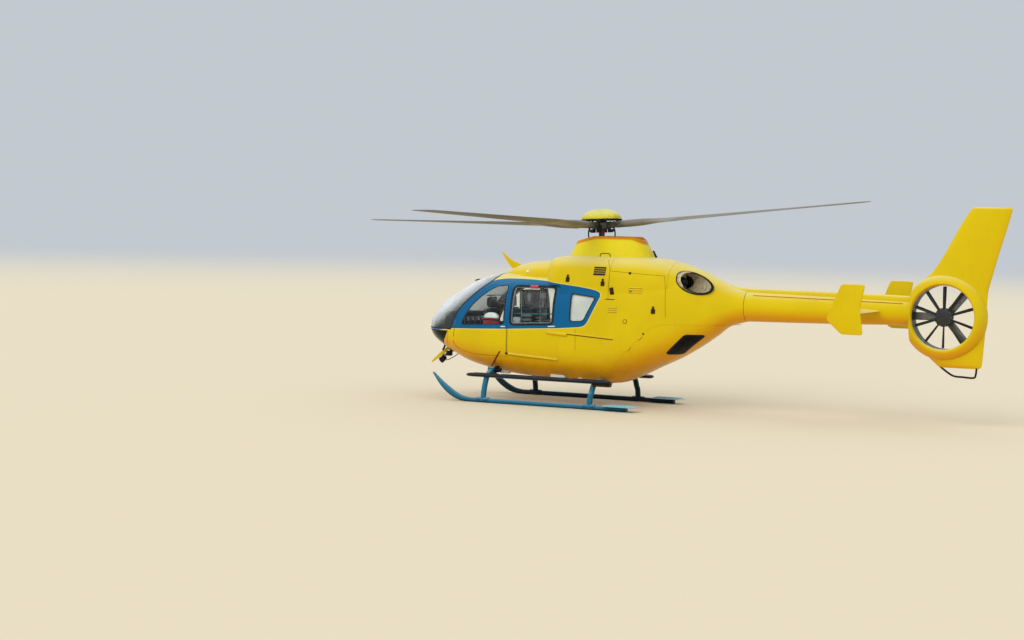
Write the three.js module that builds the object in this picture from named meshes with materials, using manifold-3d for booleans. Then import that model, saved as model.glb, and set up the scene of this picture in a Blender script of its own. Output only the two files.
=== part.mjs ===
// Light twin-engine rescue helicopter with a shrouded tail rotor, standing on its skids.
// Millimetres, +X towards the nose, +Y to port (the pilot's left), +Z up, the ground at z = 0.
// Stations in the tables are measured from the main rotor's axis; the group is shifted by MAST_X.
import * as THREE from "three";
import { mergeVertices } from "three/addons/utils/BufferGeometryUtils.js";
import Module from "manifold-3d";

const wasm = await Module();
wasm.setup();

// Driving dimensions of the aircraft
const ROTOR_RADIUS = 5100;
const OVERALL_LENGTH = 12160; // front of the rotor circle to the tail
const TAIL_X = ROTOR_RADIUS - OVERALL_LENGTH; // the tail's end, behind the mast
const NOSE_X = 3200;
const HUB_Z = 3060; // height of the blades' root
const MAST_TILT = THREE.MathUtils.degToRad(3); // the mast leans forward
const BLADE_CONE = THREE.MathUtils.degToRad(2.8);
const FIRST_BLADE = THREE.MathUtils.degToRad(-9); // the front blade's heading at rest
const BLADE_COUNT = 4;
const SKIN = 30; // cabin wall
const DOOR_WALL = 42; // whole door, with its inner lining
const COWL_WALL = 25;
const PANE = 10; // window pane
const SEAM = 12; // open joint beside a door that swings
const TOUCH = 0.3; // joint between parts that sit on each other
const FAR = 4000;

// Small helpers

const solidOf = (geometry) => {
  const bare = geometry.index ? geometry.toNonIndexed() : geometry.clone();
  bare.deleteAttribute("normal");
  bare.deleteAttribute("uv");
  const merged = mergeVertices(bare, 1e-3);
  return new wasm.Manifold(
    new wasm.Mesh({
      numProp: 3,
      vertProperties: merged.attributes.position.array,
      triVerts: new Uint32Array(merged.index.array),
    }),
  );
};

const geometryOf = (solid) => {
  const mesh = solid.getMesh();
  const geometry = new THREE.BufferGeometry();
  const flat = new Float32Array((mesh.vertProperties.length / mesh.numProp) * 3);
  for (let i = 0; i < flat.length / 3; i++)
    for (let k = 0; k < 3; k++) flat[3 * i + k] = mesh.vertProperties[mesh.numProp * i + k];
  geometry.setAttribute("position", new THREE.BufferAttribute(flat, 3));
  geometry.setIndex(new THREE.BufferAttribute(new Uint32Array(mesh.triVerts), 1));
  geometry.computeVertexNormals();
  return geometry;
};

// A closed skin through rings of points that all have the same count; the ends are fans.
// Each quad is split so that port and starboard are mirror images.
const loft = (rings) => {
  const count = rings[0].length;
  const points = rings.flat();
  const ends = [rings[0], rings[rings.length - 1]].map((ring) =>
    ring.reduce((sum, p) => sum.add(p), new THREE.Vector3()).divideScalar(count),
  );
  const faces = [];
  for (let r = 0; r + 1 < rings.length; r++)
    for (let i = 0; i < count; i++) {
      const j = (i + 1) % count;
      const [a, b, c, d] = [r * count + i, r * count + j, (r + 1) * count + i, (r + 1) * count + j];
      const toPort = points[a].y + points[b].y + points[c].y + points[d].y >= 0;
      if (toPort) faces.push(a, b, d, a, d, c);
      else faces.push(a, b, c, b, d, c);
    }
  const last = (rings.length - 1) * count;
  for (let i = 0; i < count; i++) {
    const j = (i + 1) % count;
    faces.push(points.length, j, i, points.length + 1, last + i, last + j);
  }
  const all = [...points, ...ends];
  const build = (order) =>
    new THREE.BufferGeometry()
      .setAttribute("position", new THREE.Float32BufferAttribute(all.flatMap((p) => [p.x, p.y, p.z]), 3))
      .setIndex(order);
  const made = solidOf(build(faces));
  if (made.volume() > 0) return made;
  return solidOf(build(faces.map((_, i) => faces[i - (i % 3) + 2 - (i % 3)])));
};

// Point-to-point tables: a smooth curve through the rows, with no overshoot (monotone cubic).
const smoothTable = (keys, values) => {
  const slopes = keys.slice(1).map((k, i) => (values[i + 1] - values[i]) / (k - keys[i]));
  const tangents = keys.map((_, i) => {
    if (i === 0) return slopes[0];
    if (i === keys.length - 1) return slopes[i - 1];
    const [a, b] = [slopes[i - 1], slopes[i]];
    return a * b <= 0 ? 0 : (2 * a * b) / (a + b);
  });
  return (key) => {
    const found = keys.findIndex((k, n) => n > 0 && key <= k);
    const i = found < 0 ? keys.length - 2 : found - 1;
    const span = keys[i + 1] - keys[i];
    const t = Math.min(1, Math.max(0, (key - keys[i]) / span));
    const [t2, t3] = [t * t, t * t * t];
    return (
      values[i] * (2 * t3 - 3 * t2 + 1) +
      tangents[i] * span * (t3 - 2 * t2 + t) +
      values[i + 1] * (3 * t2 - 2 * t3) +
      tangents[i + 1] * span * (t3 - t2)
    );
  };
};

// A body's columns as functions of the station x. The key grows with the root of the distance
// from its front point, so a body that shrinks to nothing there gets a round front.
const bodyShape = (front, rows, columns) => {
  const sorted = [...rows].sort((a, b) => b[0] - a[0]);
  const keys = sorted.map((row) => Math.sqrt(front - row[0]));
  const curves = columns.map((_, c) => smoothTable(keys, sorted.map((row) => row[c + 1])));
  return (x) => {
    const key = Math.sqrt(Math.max(0, front - x));
    return Object.fromEntries(columns.map((name, c) => [name, curves[c](key)]));
  };
};

// One cross-section: two half superellipses that share their widest line.
const RING = 28;
const sectionRing = (x, s, inset = 0) => {
  const half = Math.max(4, s.half - inset);
  const up = Math.max(4, s.top - inset - s.wide);
  const down = Math.max(4, s.wide - s.bottom - inset);
  const ring = [];
  for (let i = 0; i < RING; i++) {
    const angle = ((i + 0.5) / RING) * 2 * Math.PI;
    const [c, n] = [Math.cos(angle), Math.sin(angle)];
    const power = 2 / (n > 0 ? s.upPower : s.lowPower);
    const y = half * Math.sign(c) * Math.abs(c) ** power;
    const z = s.wide + (n > 0 ? up : down) * Math.sign(n) * Math.abs(n) ** power;
    ring.push(new THREE.Vector3(x, y, z));
  }
  return ring;
};

const box = (x0, x1, y0, y1, z0, z1) =>
  solidOf(
    new THREE.BoxGeometry(x1 - x0, y1 - y0, z1 - z0).translate((x0 + x1) / 2, (y0 + y1) / 2, (z0 + z1) / 2),
  );

const shapeOf = (outline) => new THREE.Shape(outline.map(([a, b]) => new THREE.Vector2(a, b)));

// A side-view outline of [x, z] points, extruded across the aircraft from y0 to y1.
const acrossPrism = (outline, y0, y1) =>
  solidOf(
    new THREE.ExtrudeGeometry(shapeOf(outline), { depth: y1 - y0, bevelEnabled: false })
      .rotateX(Math.PI / 2)
      .translate(0, y1, 0),
  );

// An outline with its corners rounded by arcs, as short chords.
const rounded = (outline, radius, steps = 3) =>
  outline.flatMap((corner, i) => {
    const at = new THREE.Vector2(...corner);
    const before = new THREE.Vector2(...outline[(i + outline.length - 1) % outline.length]).sub(at);
    const after = new THREE.Vector2(...outline[(i + 1) % outline.length]).sub(at);
    const reach = Math.min(radius, before.length() / 2.1, after.length() / 2.1);
    const [from, to] = [before.setLength(reach).add(at), after.setLength(reach).add(at)];
    const points = [];
    for (let k = 0; k <= steps; k++) {
      const t = k / steps;
      const p = from.clone().multiplyScalar((1 - t) ** 2);
      p.add(at.clone().multiplyScalar(2 * t * (1 - t))).add(to.clone().multiplyScalar(t * t));
      points.push([p.x, p.y]);
    }
    return points;
  });

// The same outline moved outwards (or inwards, if grow is negative) along its corners' bisectors.
const grown = (outline, grow) => {
  const area = outline.reduce((sum, [x, z], i) => {
    const [nx, nz] = outline[(i + 1) % outline.length];
    return sum + x * nz - nx * z;
  }, 0);
  const side = area > 0 ? 1 : -1;
  return outline.map(([x, z], i) => {
    const [px, pz] = outline[(i + outline.length - 1) % outline.length];
    const [nx, nz] = outline[(i + 1) % outline.length];
    const a = new THREE.Vector2(x - px, z - pz).normalize();
    const b = new THREE.Vector2(nx - x, nz - z).normalize();
    const [na, nb] = [new THREE.Vector2(a.y, -a.x), new THREE.Vector2(b.y, -b.x)];
    const mid = na.clone().add(nb).normalize();
    const reach = (grow * side) / Math.max(0.4, mid.dot(na));
    return [x + mid.x * reach, z + mid.y * reach];
  });
};

const mirrored = (solid) => solid.mirror([0, 1, 0]);
const join = (...solids) => solids.reduce((sum, s) => sum.add(s));

// A round bar between two points.
const bar = (from, to, radius, sides = 12) => {
  const [a, b] = [new THREE.Vector3(...from), new THREE.Vector3(...to)];
  const along = b.clone().sub(a);
  const turn = new THREE.Quaternion().setFromUnitVectors(
    new THREE.Vector3(0, 1, 0),
    along.clone().normalize(),
  );
  return solidOf(
    new THREE.CylinderGeometry(radius, radius, along.length(), sides)
      .applyQuaternion(turn)
      .translate(...a.add(b).divideScalar(2).toArray()),
  );
};

// Fuselage pod

const POD_END = -2700; // the joint with the tail boom
const POD_COLUMNS = ["bottom", "top", "half", "wide", "lowPower", "upPower"];
const POD_ROWS = [
  // x, bottom, top, half width, height of the widest line, lower power, upper power
  [3200, 1243, 1247, 4, 1245, 2.0, 2.0],
  [3080, 1000, 1512, 335, 1210, 2.05, 2.05],
  [2820, 858, 1738, 560, 1160, 2.2, 2.2],
  [2550, 726, 1905, 664, 1125, 2.35, 2.4],
  [2300, 622, 2038, 722, 1090, 2.45, 2.6],
  [2050, 558, 2134, 753, 1065, 2.5, 2.8],
  [1800, 512, 2186, 770, 1050, 2.6, 3.0],
  [1400, 457, 2212, 780, 1040, 2.7, 3.1],
  [900, 420, 2222, 783, 1040, 2.75, 3.1],
  [500, 402, 2262, 783, 1045, 2.75, 3.1],
  [200, 392, 2365, 782, 1050, 2.75, 3.05],
  [-100, 386, 2480, 778, 1060, 2.75, 3.0],
  [-450, 400, 2550, 766, 1085, 2.7, 2.95],
  [-800, 530, 2560, 738, 1150, 2.6, 2.85],
  [-1150, 700, 2540, 672, 1265, 2.5, 2.75],
  [-1500, 862, 2478, 575, 1400, 2.4, 2.6],
  [-1850, 1062, 2370, 462, 1530, 2.3, 2.45],
  [-2150, 1266, 2240, 368, 1645, 2.2, 2.3],
  [-2400, 1448, 2130, 298, 1730, 2.1, 2.15],
  [POD_END, 1540, 2050, 250, 1795, 2.05, 2.05],
];
const podShape = bodyShape(NOSE_X, POD_ROWS, POD_COLUMNS);
const ROOF_TOP = 2222; // top of the cabin roof, under the cowlings
const roofShape = (x) => {
  const s = podShape(x);
  return x > 900 ? s : { ...s, top: Math.min(s.top, ROOF_TOP), upPower: 3.1 };
};
const podStations = [
  NOSE_X, 3188, 3150, 3085, 2990, 2870, 2720, 2540, 2330, 2100, 1850, 1550, 1200, 850, 500, 150, -200, -550,
  -900, -1250, -1600, -1950, -2300, POD_END,
];
const podLoft = (shape, inset, from = NOSE_X, to = POD_END) =>
  loft(
    [from, ...podStations.filter((x) => x < from - 8 && x > to + 8), to].map((x) =>
      sectionRing(x, shape(x), inset),
    ),
  );

// Where the surface of the pod stands at a station and a height, on the port side
const podSide = (x, z) => {
  const s = podShape(x);
  const [height, power] = z > s.wide ? [s.top - s.wide, s.upPower] : [s.wide - s.bottom, s.lowPower];
  const rise = Math.min(1, Math.abs(z - s.wide) / height);
  return s.half * (1 - rise ** power) ** (1 / power);
};

const pod = podLoft(podShape, 0);
const podInside = podLoft(podShape, SKIN, NOSE_X - 45, -2330);
const doorInside = podLoft(podShape, DOOR_WALL, NOSE_X - 60, -2330);
const paneInside = podLoft(podShape, PANE, NOSE_X - 18, -2330);
const cowlInside = podLoft(podShape, COWL_WALL, NOSE_X - 40, -2330);
const roof = podLoft(roofShape, 0, NOSE_X, -1000);

// Gearbox bulge on the roof, and the low fairing in front of it

const BULGE_FRONT = 1020;
const BULGE_COLUMNS = ["bottom", "top", "half", "wide", "lowPower", "upPower"];
const BULGE_ROWS = [
  // x, bottom, top, half width, height of the widest line, lower power, upper power
  [1020, 2100, 2300, 40, 2150, 2.5, 2.2],
  [980, 1950, 2385, 340, 2080, 3.0, 2.5],
  [880, 1900, 2455, 525, 2020, 3.0, 2.8],
  [700, 1900, 2515, 632, 1990, 3.0, 3.0],
  [400, 1900, 2548, 694, 1970, 3.0, 3.1],
  [0, 1900, 2562, 716, 1960, 3.0, 3.1],
  [-500, 1900, 2562, 716, 1940, 3.0, 3.1],
  [-850, 1900, 2556, 678, 1940, 3.0, 3.1],
  [-1200, 1900, 2516, 610, 1940, 3.0, 3.0],
  [-1560, 1900, 2380, 430, 1960, 3.0, 2.6],
];
const bulgeShape = bodyShape(BULGE_FRONT, BULGE_ROWS, BULGE_COLUMNS);
const bulgeStations = [1020, 1010, 980, 930, 860, 760, 620, 420, 100, -500, -850, -1200, -1400, -1560];
const bulgeLoft = (inset, from = BULGE_FRONT) =>
  loft(
    [from, ...bulgeStations.filter((x) => x < from - 5)].map((x) => sectionRing(x, bulgeShape(x), inset)),
  );

const FAIRING_FRONT = 1760;
const FAIRING_ROWS = [
  // x, bottom, top, half width, height of the widest line, lower power, upper power
  [1760, 2120, 2200, 30, 2150, 2.2, 2.2],
  [1650, 2060, 2275, 200, 2130, 2.2, 2.2],
  [1450, 2050, 2352, 325, 2120, 2.3, 2.3],
  [1200, 2050, 2412, 415, 2110, 2.4, 2.4],
  [800, 2050, 2452, 455, 2100, 2.4, 2.5],
];
const fairingShape = bodyShape(FAIRING_FRONT, FAIRING_ROWS, BULGE_COLUMNS);
const fairingStations = [1760, 1735, 1680, 1590, 1460, 1300, 1100, 940, 800];
const roofFairingLoft = loft(fairingStations.map((x) => sectionRing(x, fairingShape(x))));

const bulge = bulgeLoft(0);
const outer = pod.add(bulge);

// Upper deck: everything above it is cowling, everything below is cabin or luggage bay

const DECK_Z = 2040;
const DECK_WALL = 22;
const ROOF_EDGE_X = 350; // the cabin roof ends here and the flat deck starts
const BAY_END = -2290;
const COWL_SPLIT_X = -470; // gearbox cowling meets the engine cowlings
const ENGINE_COWL_END = -1530;

const roofKept = roof.intersect(box(ROOF_EDGE_X, FAR, -FAR, FAR, DECK_Z - 200, FAR));
const bayRegion = box(BAY_END, BULGE_FRONT + 20, -FAR, FAR, DECK_Z, FAR);
const roofCleared = podLoft(roofShape, -TOUCH, NOSE_X, -1000).intersect(
  box(ROOF_EDGE_X - TOUCH, FAR, -FAR, FAR, DECK_Z - 200, FAR),
);
const bayInside = cowlInside
  .add(bulgeLoft(COWL_WALL, BULGE_FRONT - 30))
  .intersect(box(BAY_END + COWL_WALL, FAR, -FAR, FAR, DECK_Z - 100, FAR));
const cowlShell = outer
  .intersect(box(BAY_END + TOUCH, BULGE_FRONT + 20, -FAR, FAR, DECK_Z + TOUCH, FAR))
  .subtract(roofCleared)
  .subtract(bayInside);

// Side-view outlines of the doors and windows, [x, z]

const SILL_RISE = 0.052; // the sill climbs towards the tail
const sillAt = (x) => 1220 + (2460 - x) * SILL_RISE;
const PILLAR = [
  // front edge of the door frame, from the sill up to the roof
  [2520, 1205],
  [2470, 1360],
  [2390, 1510],
  [2285, 1650],
  [2165, 1770],
  [2040, 1880],
  [1915, 1975],
  [1800, 2065],
];
const WINDSHIELD = [...PILLAR, [1740, 2140], [1700, 2400], [3400, 2400], [3400, 1205]];
const CHIN_WINDOW = [
  [3400, 1165],
  [2600, 1165],
  [2640, 1080],
  [2790, 880],
  [3010, 780],
  [3400, 780],
];
const DOOR_HINGE_LOW = [2452, 990];
const DOOR_HINGE_HIGH = [2412, 1370];
const FRONT_DOOR = [
  DOOR_HINGE_HIGH,
  [2330, 1505],
  [2230, 1632],
  [2115, 1749],
  [1985, 1857],
  [1850, 1945],
  [1690, 2010],
  [1520, 2040],
  [1388, 2046],
  [1388, 790],
  [2050, 800],
  [2290, 850],
  [2400, 910],
  DOOR_HINGE_LOW,
];
const FRONT_WINDOW = rounded(
  [
    [2290, 1295],
    [2215, 1480],
    [2095, 1645],
    [1960, 1775],
    [1810, 1890],
    [1640, 1985],
    [1432, 2005],
    [1432, 1338],
  ],
  55,
);
const SLIDING_DOOR = rounded(
  [
    [1352, 2034],
    [420, 2034],
    [420, 775],
    [1352, 790],
  ],
  70,
);
const SLIDING_WINDOW = rounded(
  [
    [1315, 1990],
    [520, 2000],
    [520, 1385],
    [1315, 1345],
  ],
  70,
);
const REAR_WINDOW = rounded(
  [
    [205, 1915],
    [-250, 1865],
    [-45, 1452],
    [205, 1440],
  ],
  55,
);
const CLAM_HINGE_LOW = [-850, 1000];
const CLAM_HINGE_HIGH = [-1100, 1250];
const CLAM_DOOR = [
  [-400, 250],
  [-480, 500],
  [-700, 850],
  [-1250, 1400],
  [-1400, 1445],
  [-2200, 1450],
  [-2200, 250],
];
const CLAM_WINDOW = rounded(
  [
    [-1770, 1290],
    [-2060, 1290],
    [-1640, 962],
    [-1435, 956],
  ],
  50,
);
const POST_HALF = 26; // half width of the windshield's centre post
const CHIN_HALF = 60; // half width of the keel strip between the chin windows

const openSide = (outline, grow = 0) => acrossPrism(grown(outline, grow), 2, FAR);

const parts = {}; // name: [solid, material]

const skinOnly = (solid) => solid.subtract(doorInside);
const paneOf = (outline, keep) =>
  pod
    .subtract(paneInside)
    .intersect(openSide(outline, -TOUCH))
    .intersect(keep ?? box(-FAR, FAR, 0, FAR, 0, FAR));

// Port side first; the starboard pieces are its mirror image.
const portPieces = {};
portPieces.windshield = pod
  .subtract(paneInside)
  .intersect(acrossPrism(grown(WINDSHIELD, -TOUCH), POST_HALF + TOUCH, FAR));
portPieces.chin_window = pod
  .subtract(paneInside)
  .intersect(acrossPrism(grown(CHIN_WINDOW, -TOUCH), CHIN_HALF + TOUCH, FAR));
portPieces.front_door = skinOnly(pod.intersect(openSide(FRONT_DOOR))).subtract(openSide(FRONT_WINDOW));
portPieces.front_door_window = paneOf(FRONT_WINDOW);
portPieces.sliding_door = skinOnly(pod.intersect(openSide(SLIDING_DOOR))).subtract(
  openSide(SLIDING_WINDOW),
);
portPieces.sliding_door_window = paneOf(SLIDING_WINDOW);
portPieces.rear_side_window = paneOf(REAR_WINDOW);
portPieces.clamshell_door = pod
  .intersect(acrossPrism(CLAM_DOOR, SEAM / 2, FAR))
  .subtract(podInside)
  .subtract(openSide(CLAM_WINDOW));
portPieces.clamshell_window = paneOf(CLAM_WINDOW);

// Door hinges: knuckles on the frame, in line with the seam, that the door turns around
const KNUCKLE_RADIUS = 14;
const KNUCKLE_LENGTH = 70;
const hingeOf = (low, high, ahead, depth) => {
  const [a, b] = [low, high].map(([x, z]) => new THREE.Vector3(x + ahead, podSide(x, z) - depth, z));
  const along = b.clone().sub(a);
  const knuckles = (radius, length) =>
    [0.12, 0.88].map((t) => {
      const middle = a.clone().addScaledVector(along, t);
      const reach = along.clone().setLength(length / 2);
      return bar(middle.clone().sub(reach).toArray(), middle.clone().add(reach).toArray(), radius, 16);
    });
  return {
    a,
    b,
    pins: join(...knuckles(KNUCKLE_RADIUS, KNUCKLE_LENGTH)),
    notch: join(...knuckles(KNUCKLE_RADIUS + 0.6, KNUCKLE_LENGTH + 10)),
  };
};
const doorHinge = hingeOf(DOOR_HINGE_LOW, DOOR_HINGE_HIGH, SEAM / 2, 1);
const clamHinge = hingeOf(CLAM_HINGE_LOW, CLAM_HINGE_HIGH, SEAM / 2, -8);
portPieces.front_door = portPieces.front_door.subtract(doorHinge.notch);
portPieces.clamshell_door = portPieces.clamshell_door.subtract(clamHinge.notch);
const portPins = doorHinge.pins.add(clamHinge.pins);

// The fixed structure is the whole skin less every opening
const openings = [
  acrossPrism(WINDSHIELD, POST_HALF, FAR),
  acrossPrism(CHIN_WINDOW, CHIN_HALF, FAR),
  openSide(FRONT_DOOR, SEAM),
  openSide(SLIDING_DOOR, TOUCH),
  openSide(REAR_WINDOW),
];
const bothSides = join(...openings).add(mirrored(join(...openings)));
const clamOpening = acrossPrism(grown(CLAM_DOOR, SEAM), -FAR, FAR).add(box(-2228, -2100, -FAR, FAR, 0, 1450 + SEAM));
const deckPlate = pod.intersect(box(BAY_END, ROOF_EDGE_X + 20, -FAR, FAR, DECK_Z - DECK_WALL, DECK_Z));
let fuselage = outer
  .subtract(bayRegion)
  .subtract(podInside)
  .add(roofKept.subtract(podLoft(roofShape, SKIN, NOSE_X - 45, -1000)))
  .add(deckPlate)
  .subtract(bothSides)
  .subtract(clamOpening)
  .add(portPins)
  .add(mirrored(portPins));

// Landing gear

const SKID_Y = 1030;
const SKID_TUBE = 84;
const SKID_HEEL_X = -1010;
const FRONT_LEG_X = 1669;
const REAR_LEG_X = -323;
const skidRing = (x, z, width, height, lean) => {
  const ring = [];
  const sides = 12;
  for (let i = 0; i < sides; i++) {
    const angle = ((i + 0.5) / sides) * 2 * Math.PI;
    const across = (width / 2) * Math.cos(angle) * 1.04;
    const up = Math.max(-height / 2 + 6, (height / 2) * Math.sin(angle) * 1.02);
    ring.push(new THREE.Vector3(x - up * Math.sin(lean), across, z + up * Math.cos(lean)));
  }
  return ring;
};
const SKID_ROWS = [
  // x, height of the centre, width, depth, slope of the tube
  [SKID_HEEL_X, 36, 84, 84, 0],
  [1900, 36, 84, 84, 0],
  [2060, 52, 90, 96, 0.2],
  [2190, 96, 100, 112, 0.45],
  [2320, 172, 104, 112, 0.62],
  [2480, 300, 92, 84, 0.74],
  [2640, 466, 50, 26, 0.84],
];
const skidTube = loft(SKID_ROWS.map(([x, z, w, h, lean]) => skidRing(x, z, w, h, lean)));
const heelPlate = box(-1170, -600, -150, 150, 78, 90).add(box(-1000, -640, -36, 36, 60, 80));
const portSkid = skidTube.add(heelPlate).translate([0, SKID_Y, 0]);

// A cross tube is a bow under the belly: level in the middle, bent down at both ends.
const LEG_RADIUS = 47;
const legPath = (x, middle, shoulder) => [
  [x, 0, middle],
  [x, 480, middle + 8],
  [x, 740, shoulder + 20],
  [x, 880, shoulder - 40],
  [x, 950, shoulder - 150],
  [x, 1000, 210],
  [x, SKID_Y - 6, 72],
];
const crossTube = (x, middle, shoulder, grow = 0) => {
  const half = legPath(x, middle, shoulder).map((p) => new THREE.Vector3(...p));
  half[half.length - 1].z -= grow;
  const path = [...half.slice(1).reverse().map((p) => new THREE.Vector3(p.x, -p.y, p.z)), ...half];
  const rings = path.map((p, i) => {
    const ahead = path[Math.min(i + 1, path.length - 1)];
    const behind = path[Math.max(i - 1, 0)];
    const along = ahead.clone().sub(behind).normalize();
    const side = new THREE.Vector3(1, 0, 0);
    const over = new THREE.Vector3().crossVectors(along, side).normalize();
    const ring = [];
    for (let k = 0; k < 12; k++) {
      const angle = (k / 12) * 2 * Math.PI;
      ring.push(
        p
          .clone()
          .addScaledVector(side, (LEG_RADIUS + grow) * Math.cos(angle))
          .addScaledVector(over, (LEG_RADIUS + grow) * Math.sin(angle)),
      );
    }
    return ring;
  });
  return loft(rings);
};
const FRONT_BOW = [FRONT_LEG_X, 520, 500];
const REAR_BOW = [REAR_LEG_X, 440, 468];
const bows = [FRONT_BOW, REAR_BOW].map((bow) => crossTube(...bow));
const bowSeats = [FRONT_BOW, REAR_BOW].map((bow) => crossTube(...bow, 0.5)); // what they lie in
fuselage = bowSeats.reduce((body, seat) => body.subtract(seat), fuselage);

// The foot of each leg is a sleeve on the skid tube
const saddles = [FRONT_LEG_X, REAR_LEG_X].map((x) =>
  bar([x - 110, SKID_Y, 40], [x + 110, SKID_Y, 40], 52, 12).intersect(
    box(x - 200, x + 200, SKID_Y - 60, SKID_Y + 60, 14, 200),
  ),
);
const skidWithSaddles = join(portSkid, ...saddles).subtract(bowSeats[0]).subtract(bowSeats[1]);

// Boarding step: a flat plank of oval section on the shoulders of the cross tubes
const STEP_Y = 905;
const stepRings = [-645, -625, -560, 1940, 2020, 2045].map((x, i) => {
  const size = [0.4, 0.8, 1, 1, 0.8, 0.4][i];
  const ring = [];
  for (let k = 0; k < 12; k++) {
    const angle = ((k + 0.5) / 12) * 2 * Math.PI;
    ring.push(new THREE.Vector3(x, STEP_Y + 100 * size * Math.cos(angle), 456 + 42 * size * Math.sin(angle)));
  }
  return ring;
});
const portStep = bowSeats.reduce((step, seat) => step.subtract(seat), loft(stepRings));

// Tail boom, shroud and fin

// Tailplane: one piece through the boom, with an end plate on each tip
const STAB_FRONT = -4550;
const STAB_CHORD = 450;
const STAB_Z = 1815;
const STAB_SPAN = 1300;
const stabRing = (y, thick) => {
  const ring = [];
  for (let i = 0; i < 14; i++) {
    const angle = (i / 14) * 2 * Math.PI;
    const back = STAB_CHORD * (0.5 - 0.5 * Math.cos(angle));
    const up = (thick / 2) * Math.sin(angle) * (0.55 + 0.45 * Math.cos(angle / 2) ** 2);
    ring.push(new THREE.Vector3(STAB_FRONT - back, y, STAB_Z + up));
  }
  return ring;
};
const tailplane = loft([stabRing(-STAB_SPAN, 64), stabRing(STAB_SPAN, 64)]);
const tailplaneSlot = loft([stabRing(-STAB_SPAN, 64), stabRing(STAB_SPAN, 64)])
  .translate([-STAB_FRONT + STAB_CHORD / 2, 0, -STAB_Z])
  .scale([1.0035, 1, 1.02])
  .translate([STAB_FRONT - STAB_CHORD / 2, 0, STAB_Z]);
const END_PLATE = rounded(
  [
    [STAB_FRONT + 60, 1700],
    [STAB_FRONT - 170, 2270],
    [STAB_FRONT - 560, 2270],
    [STAB_FRONT - 480, 1900],
    [STAB_FRONT - 540, 1480],
    [STAB_FRONT - 190, 1480],
  ],
  50,
);
const portEndPlate = acrossPrism(END_PLATE, STAB_SPAN + TOUCH, STAB_SPAN + 26);

const BOOM_END = -5480;
const boomShape = bodyShape(
  POD_END + 1,
  [
    // x, bottom, top, half width, height of the widest line, lower power, upper power
    [POD_END, 1540, 2050, 250, 1795, 2.05, 2.05],
    [-3300, 1552, 2040, 226, 1795, 2.0, 2.0],
    [-4400, 1575, 2025, 190, 1800, 2.0, 2.0],
    [BOOM_END, 1610, 2005, 152, 1808, 2.0, 2.0],
  ],
  POD_COLUMNS,
);
const boomStations = [POD_END, -3200, -3800, -4400, -5000, BOOM_END];
const boomLoft = (inset, grow = 0) =>
  loft(
    boomStations.map((x, i) =>
      sectionRing(x + (i === 0 ? grow : i === boomStations.length - 1 ? -grow : 0), boomShape(x), inset),
    ),
  );
const boomSolid = boomLoft(0);
const boomTube = boomSolid
  .intersect(box(-FAR * 2, POD_END - TOUCH, -FAR, FAR, 0, FAR))
  .subtract(boomLoft(18, 40))
  .subtract(tailplaneSlot);

const FAN_X = -6020;
const FAN_Z = 1760;
const FAN_RADIUS = 500;
const DUCT_RADIUS = 508;
const SHROUD_RADIUS = 690;
const SHROUD_HALF = 175;
const shroudProfile = [
  // radius from the fan's axis, half thickness
  [0, 176],
  [DUCT_RADIUS + 20, 176],
  [570, 168],
  [630, 128],
  [670, 78],
  [SHROUD_RADIUS, 22],
];
const shroudOutline = [
  ...shroudProfile.map(([r, h]) => new THREE.Vector2(r, -h)),
  ...[...shroudProfile].reverse().map(([r, h]) => new THREE.Vector2(r, h)),
];
const shroudDisc = solidOf(new THREE.LatheGeometry(shroudOutline, 32)).translate([FAN_X, 0, FAN_Z]);
// A lens-shaped section of the fin or of the boom's end: chord along X, thickness across
const lensRing = (z, front, back, half) => {
  const ring = [];
  const around = 16;
  for (let i = 0; i < around; i++) {
    const angle = (i / around) * 2 * Math.PI;
    const along = 0.5 + 0.5 * Math.cos(angle);
    const chord = front - back;
    const thick = half * Math.sin(angle) * (0.55 + 0.45 * Math.cos(angle / 2) ** 2);
    ring.push(new THREE.Vector3(back + chord * along, thick, z));
  }
  return ring;
};
const FIN_ROWS = [
  // height, leading edge, trailing edge, half thickness
  [1820, -5340, -6690, 165],
  [2150, -5480, -6700, 150],
  [2330, -5640, -6735, 128],
  [2480, -5800, -6775, 108],
  [2700, -5945, -6830, 92],
  [3420, -6345, -7030, 62],
  [3500, -6410, TAIL_X + 12, 48],
  [3520, -6470, TAIL_X + 40, 18],
];
const fin = loft(FIN_ROWS.map((row) => lensRing(...row)));
const LOWER_FIN_ROWS = [
  [1700, -5380, -6690, 160],
  [1250, -5640, -6660, 110],
  [1010, -5900, -6640, 60],
  [960, -5960, -6600, 26],
];
const lowerFin = loft(LOWER_FIN_ROWS.map((row) => lensRing(...row)));
const neckShape = [
  // x, bottom, top, half width
  [BOOM_END - TOUCH, 1610, 2005, 152],
  [-5640, 1560, 2060, 152],
  [-5800, 1480, 2130, 140],
];
const neck = loft(
  neckShape.map(([x, bottom, top, half]) =>
    sectionRing(x, { bottom, top, half, wide: (bottom + top) / 2, lowPower: 2, upPower: 2 }),
  ),
);
const ductAt = (grow) => bar([FAN_X, -400, FAN_Z], [FAN_X, 400, FAN_Z], DUCT_RADIUS + grow, 32);
const ductLip = (side) =>
  solidOf(new THREE.CylinderGeometry(DUCT_RADIUS + 52, DUCT_RADIUS, 60, 32)).translate([0, 0, 0]).rotate([
    side > 0 ? 0 : 180, 0, 0,
  ]);
const lips = [1, -1].map((side) => ductLip(side).translate([FAN_X, side * 152, FAN_Z]));
const tailFin = join(shroudDisc, fin, lowerFin, neck)
  .intersect(box(-FAR * 2, BOOM_END - TOUCH, -FAR, FAR, 0, FAR))
  .subtract(ductAt(0))
  .subtract(lips[0])
  .subtract(lips[1]);

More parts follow.
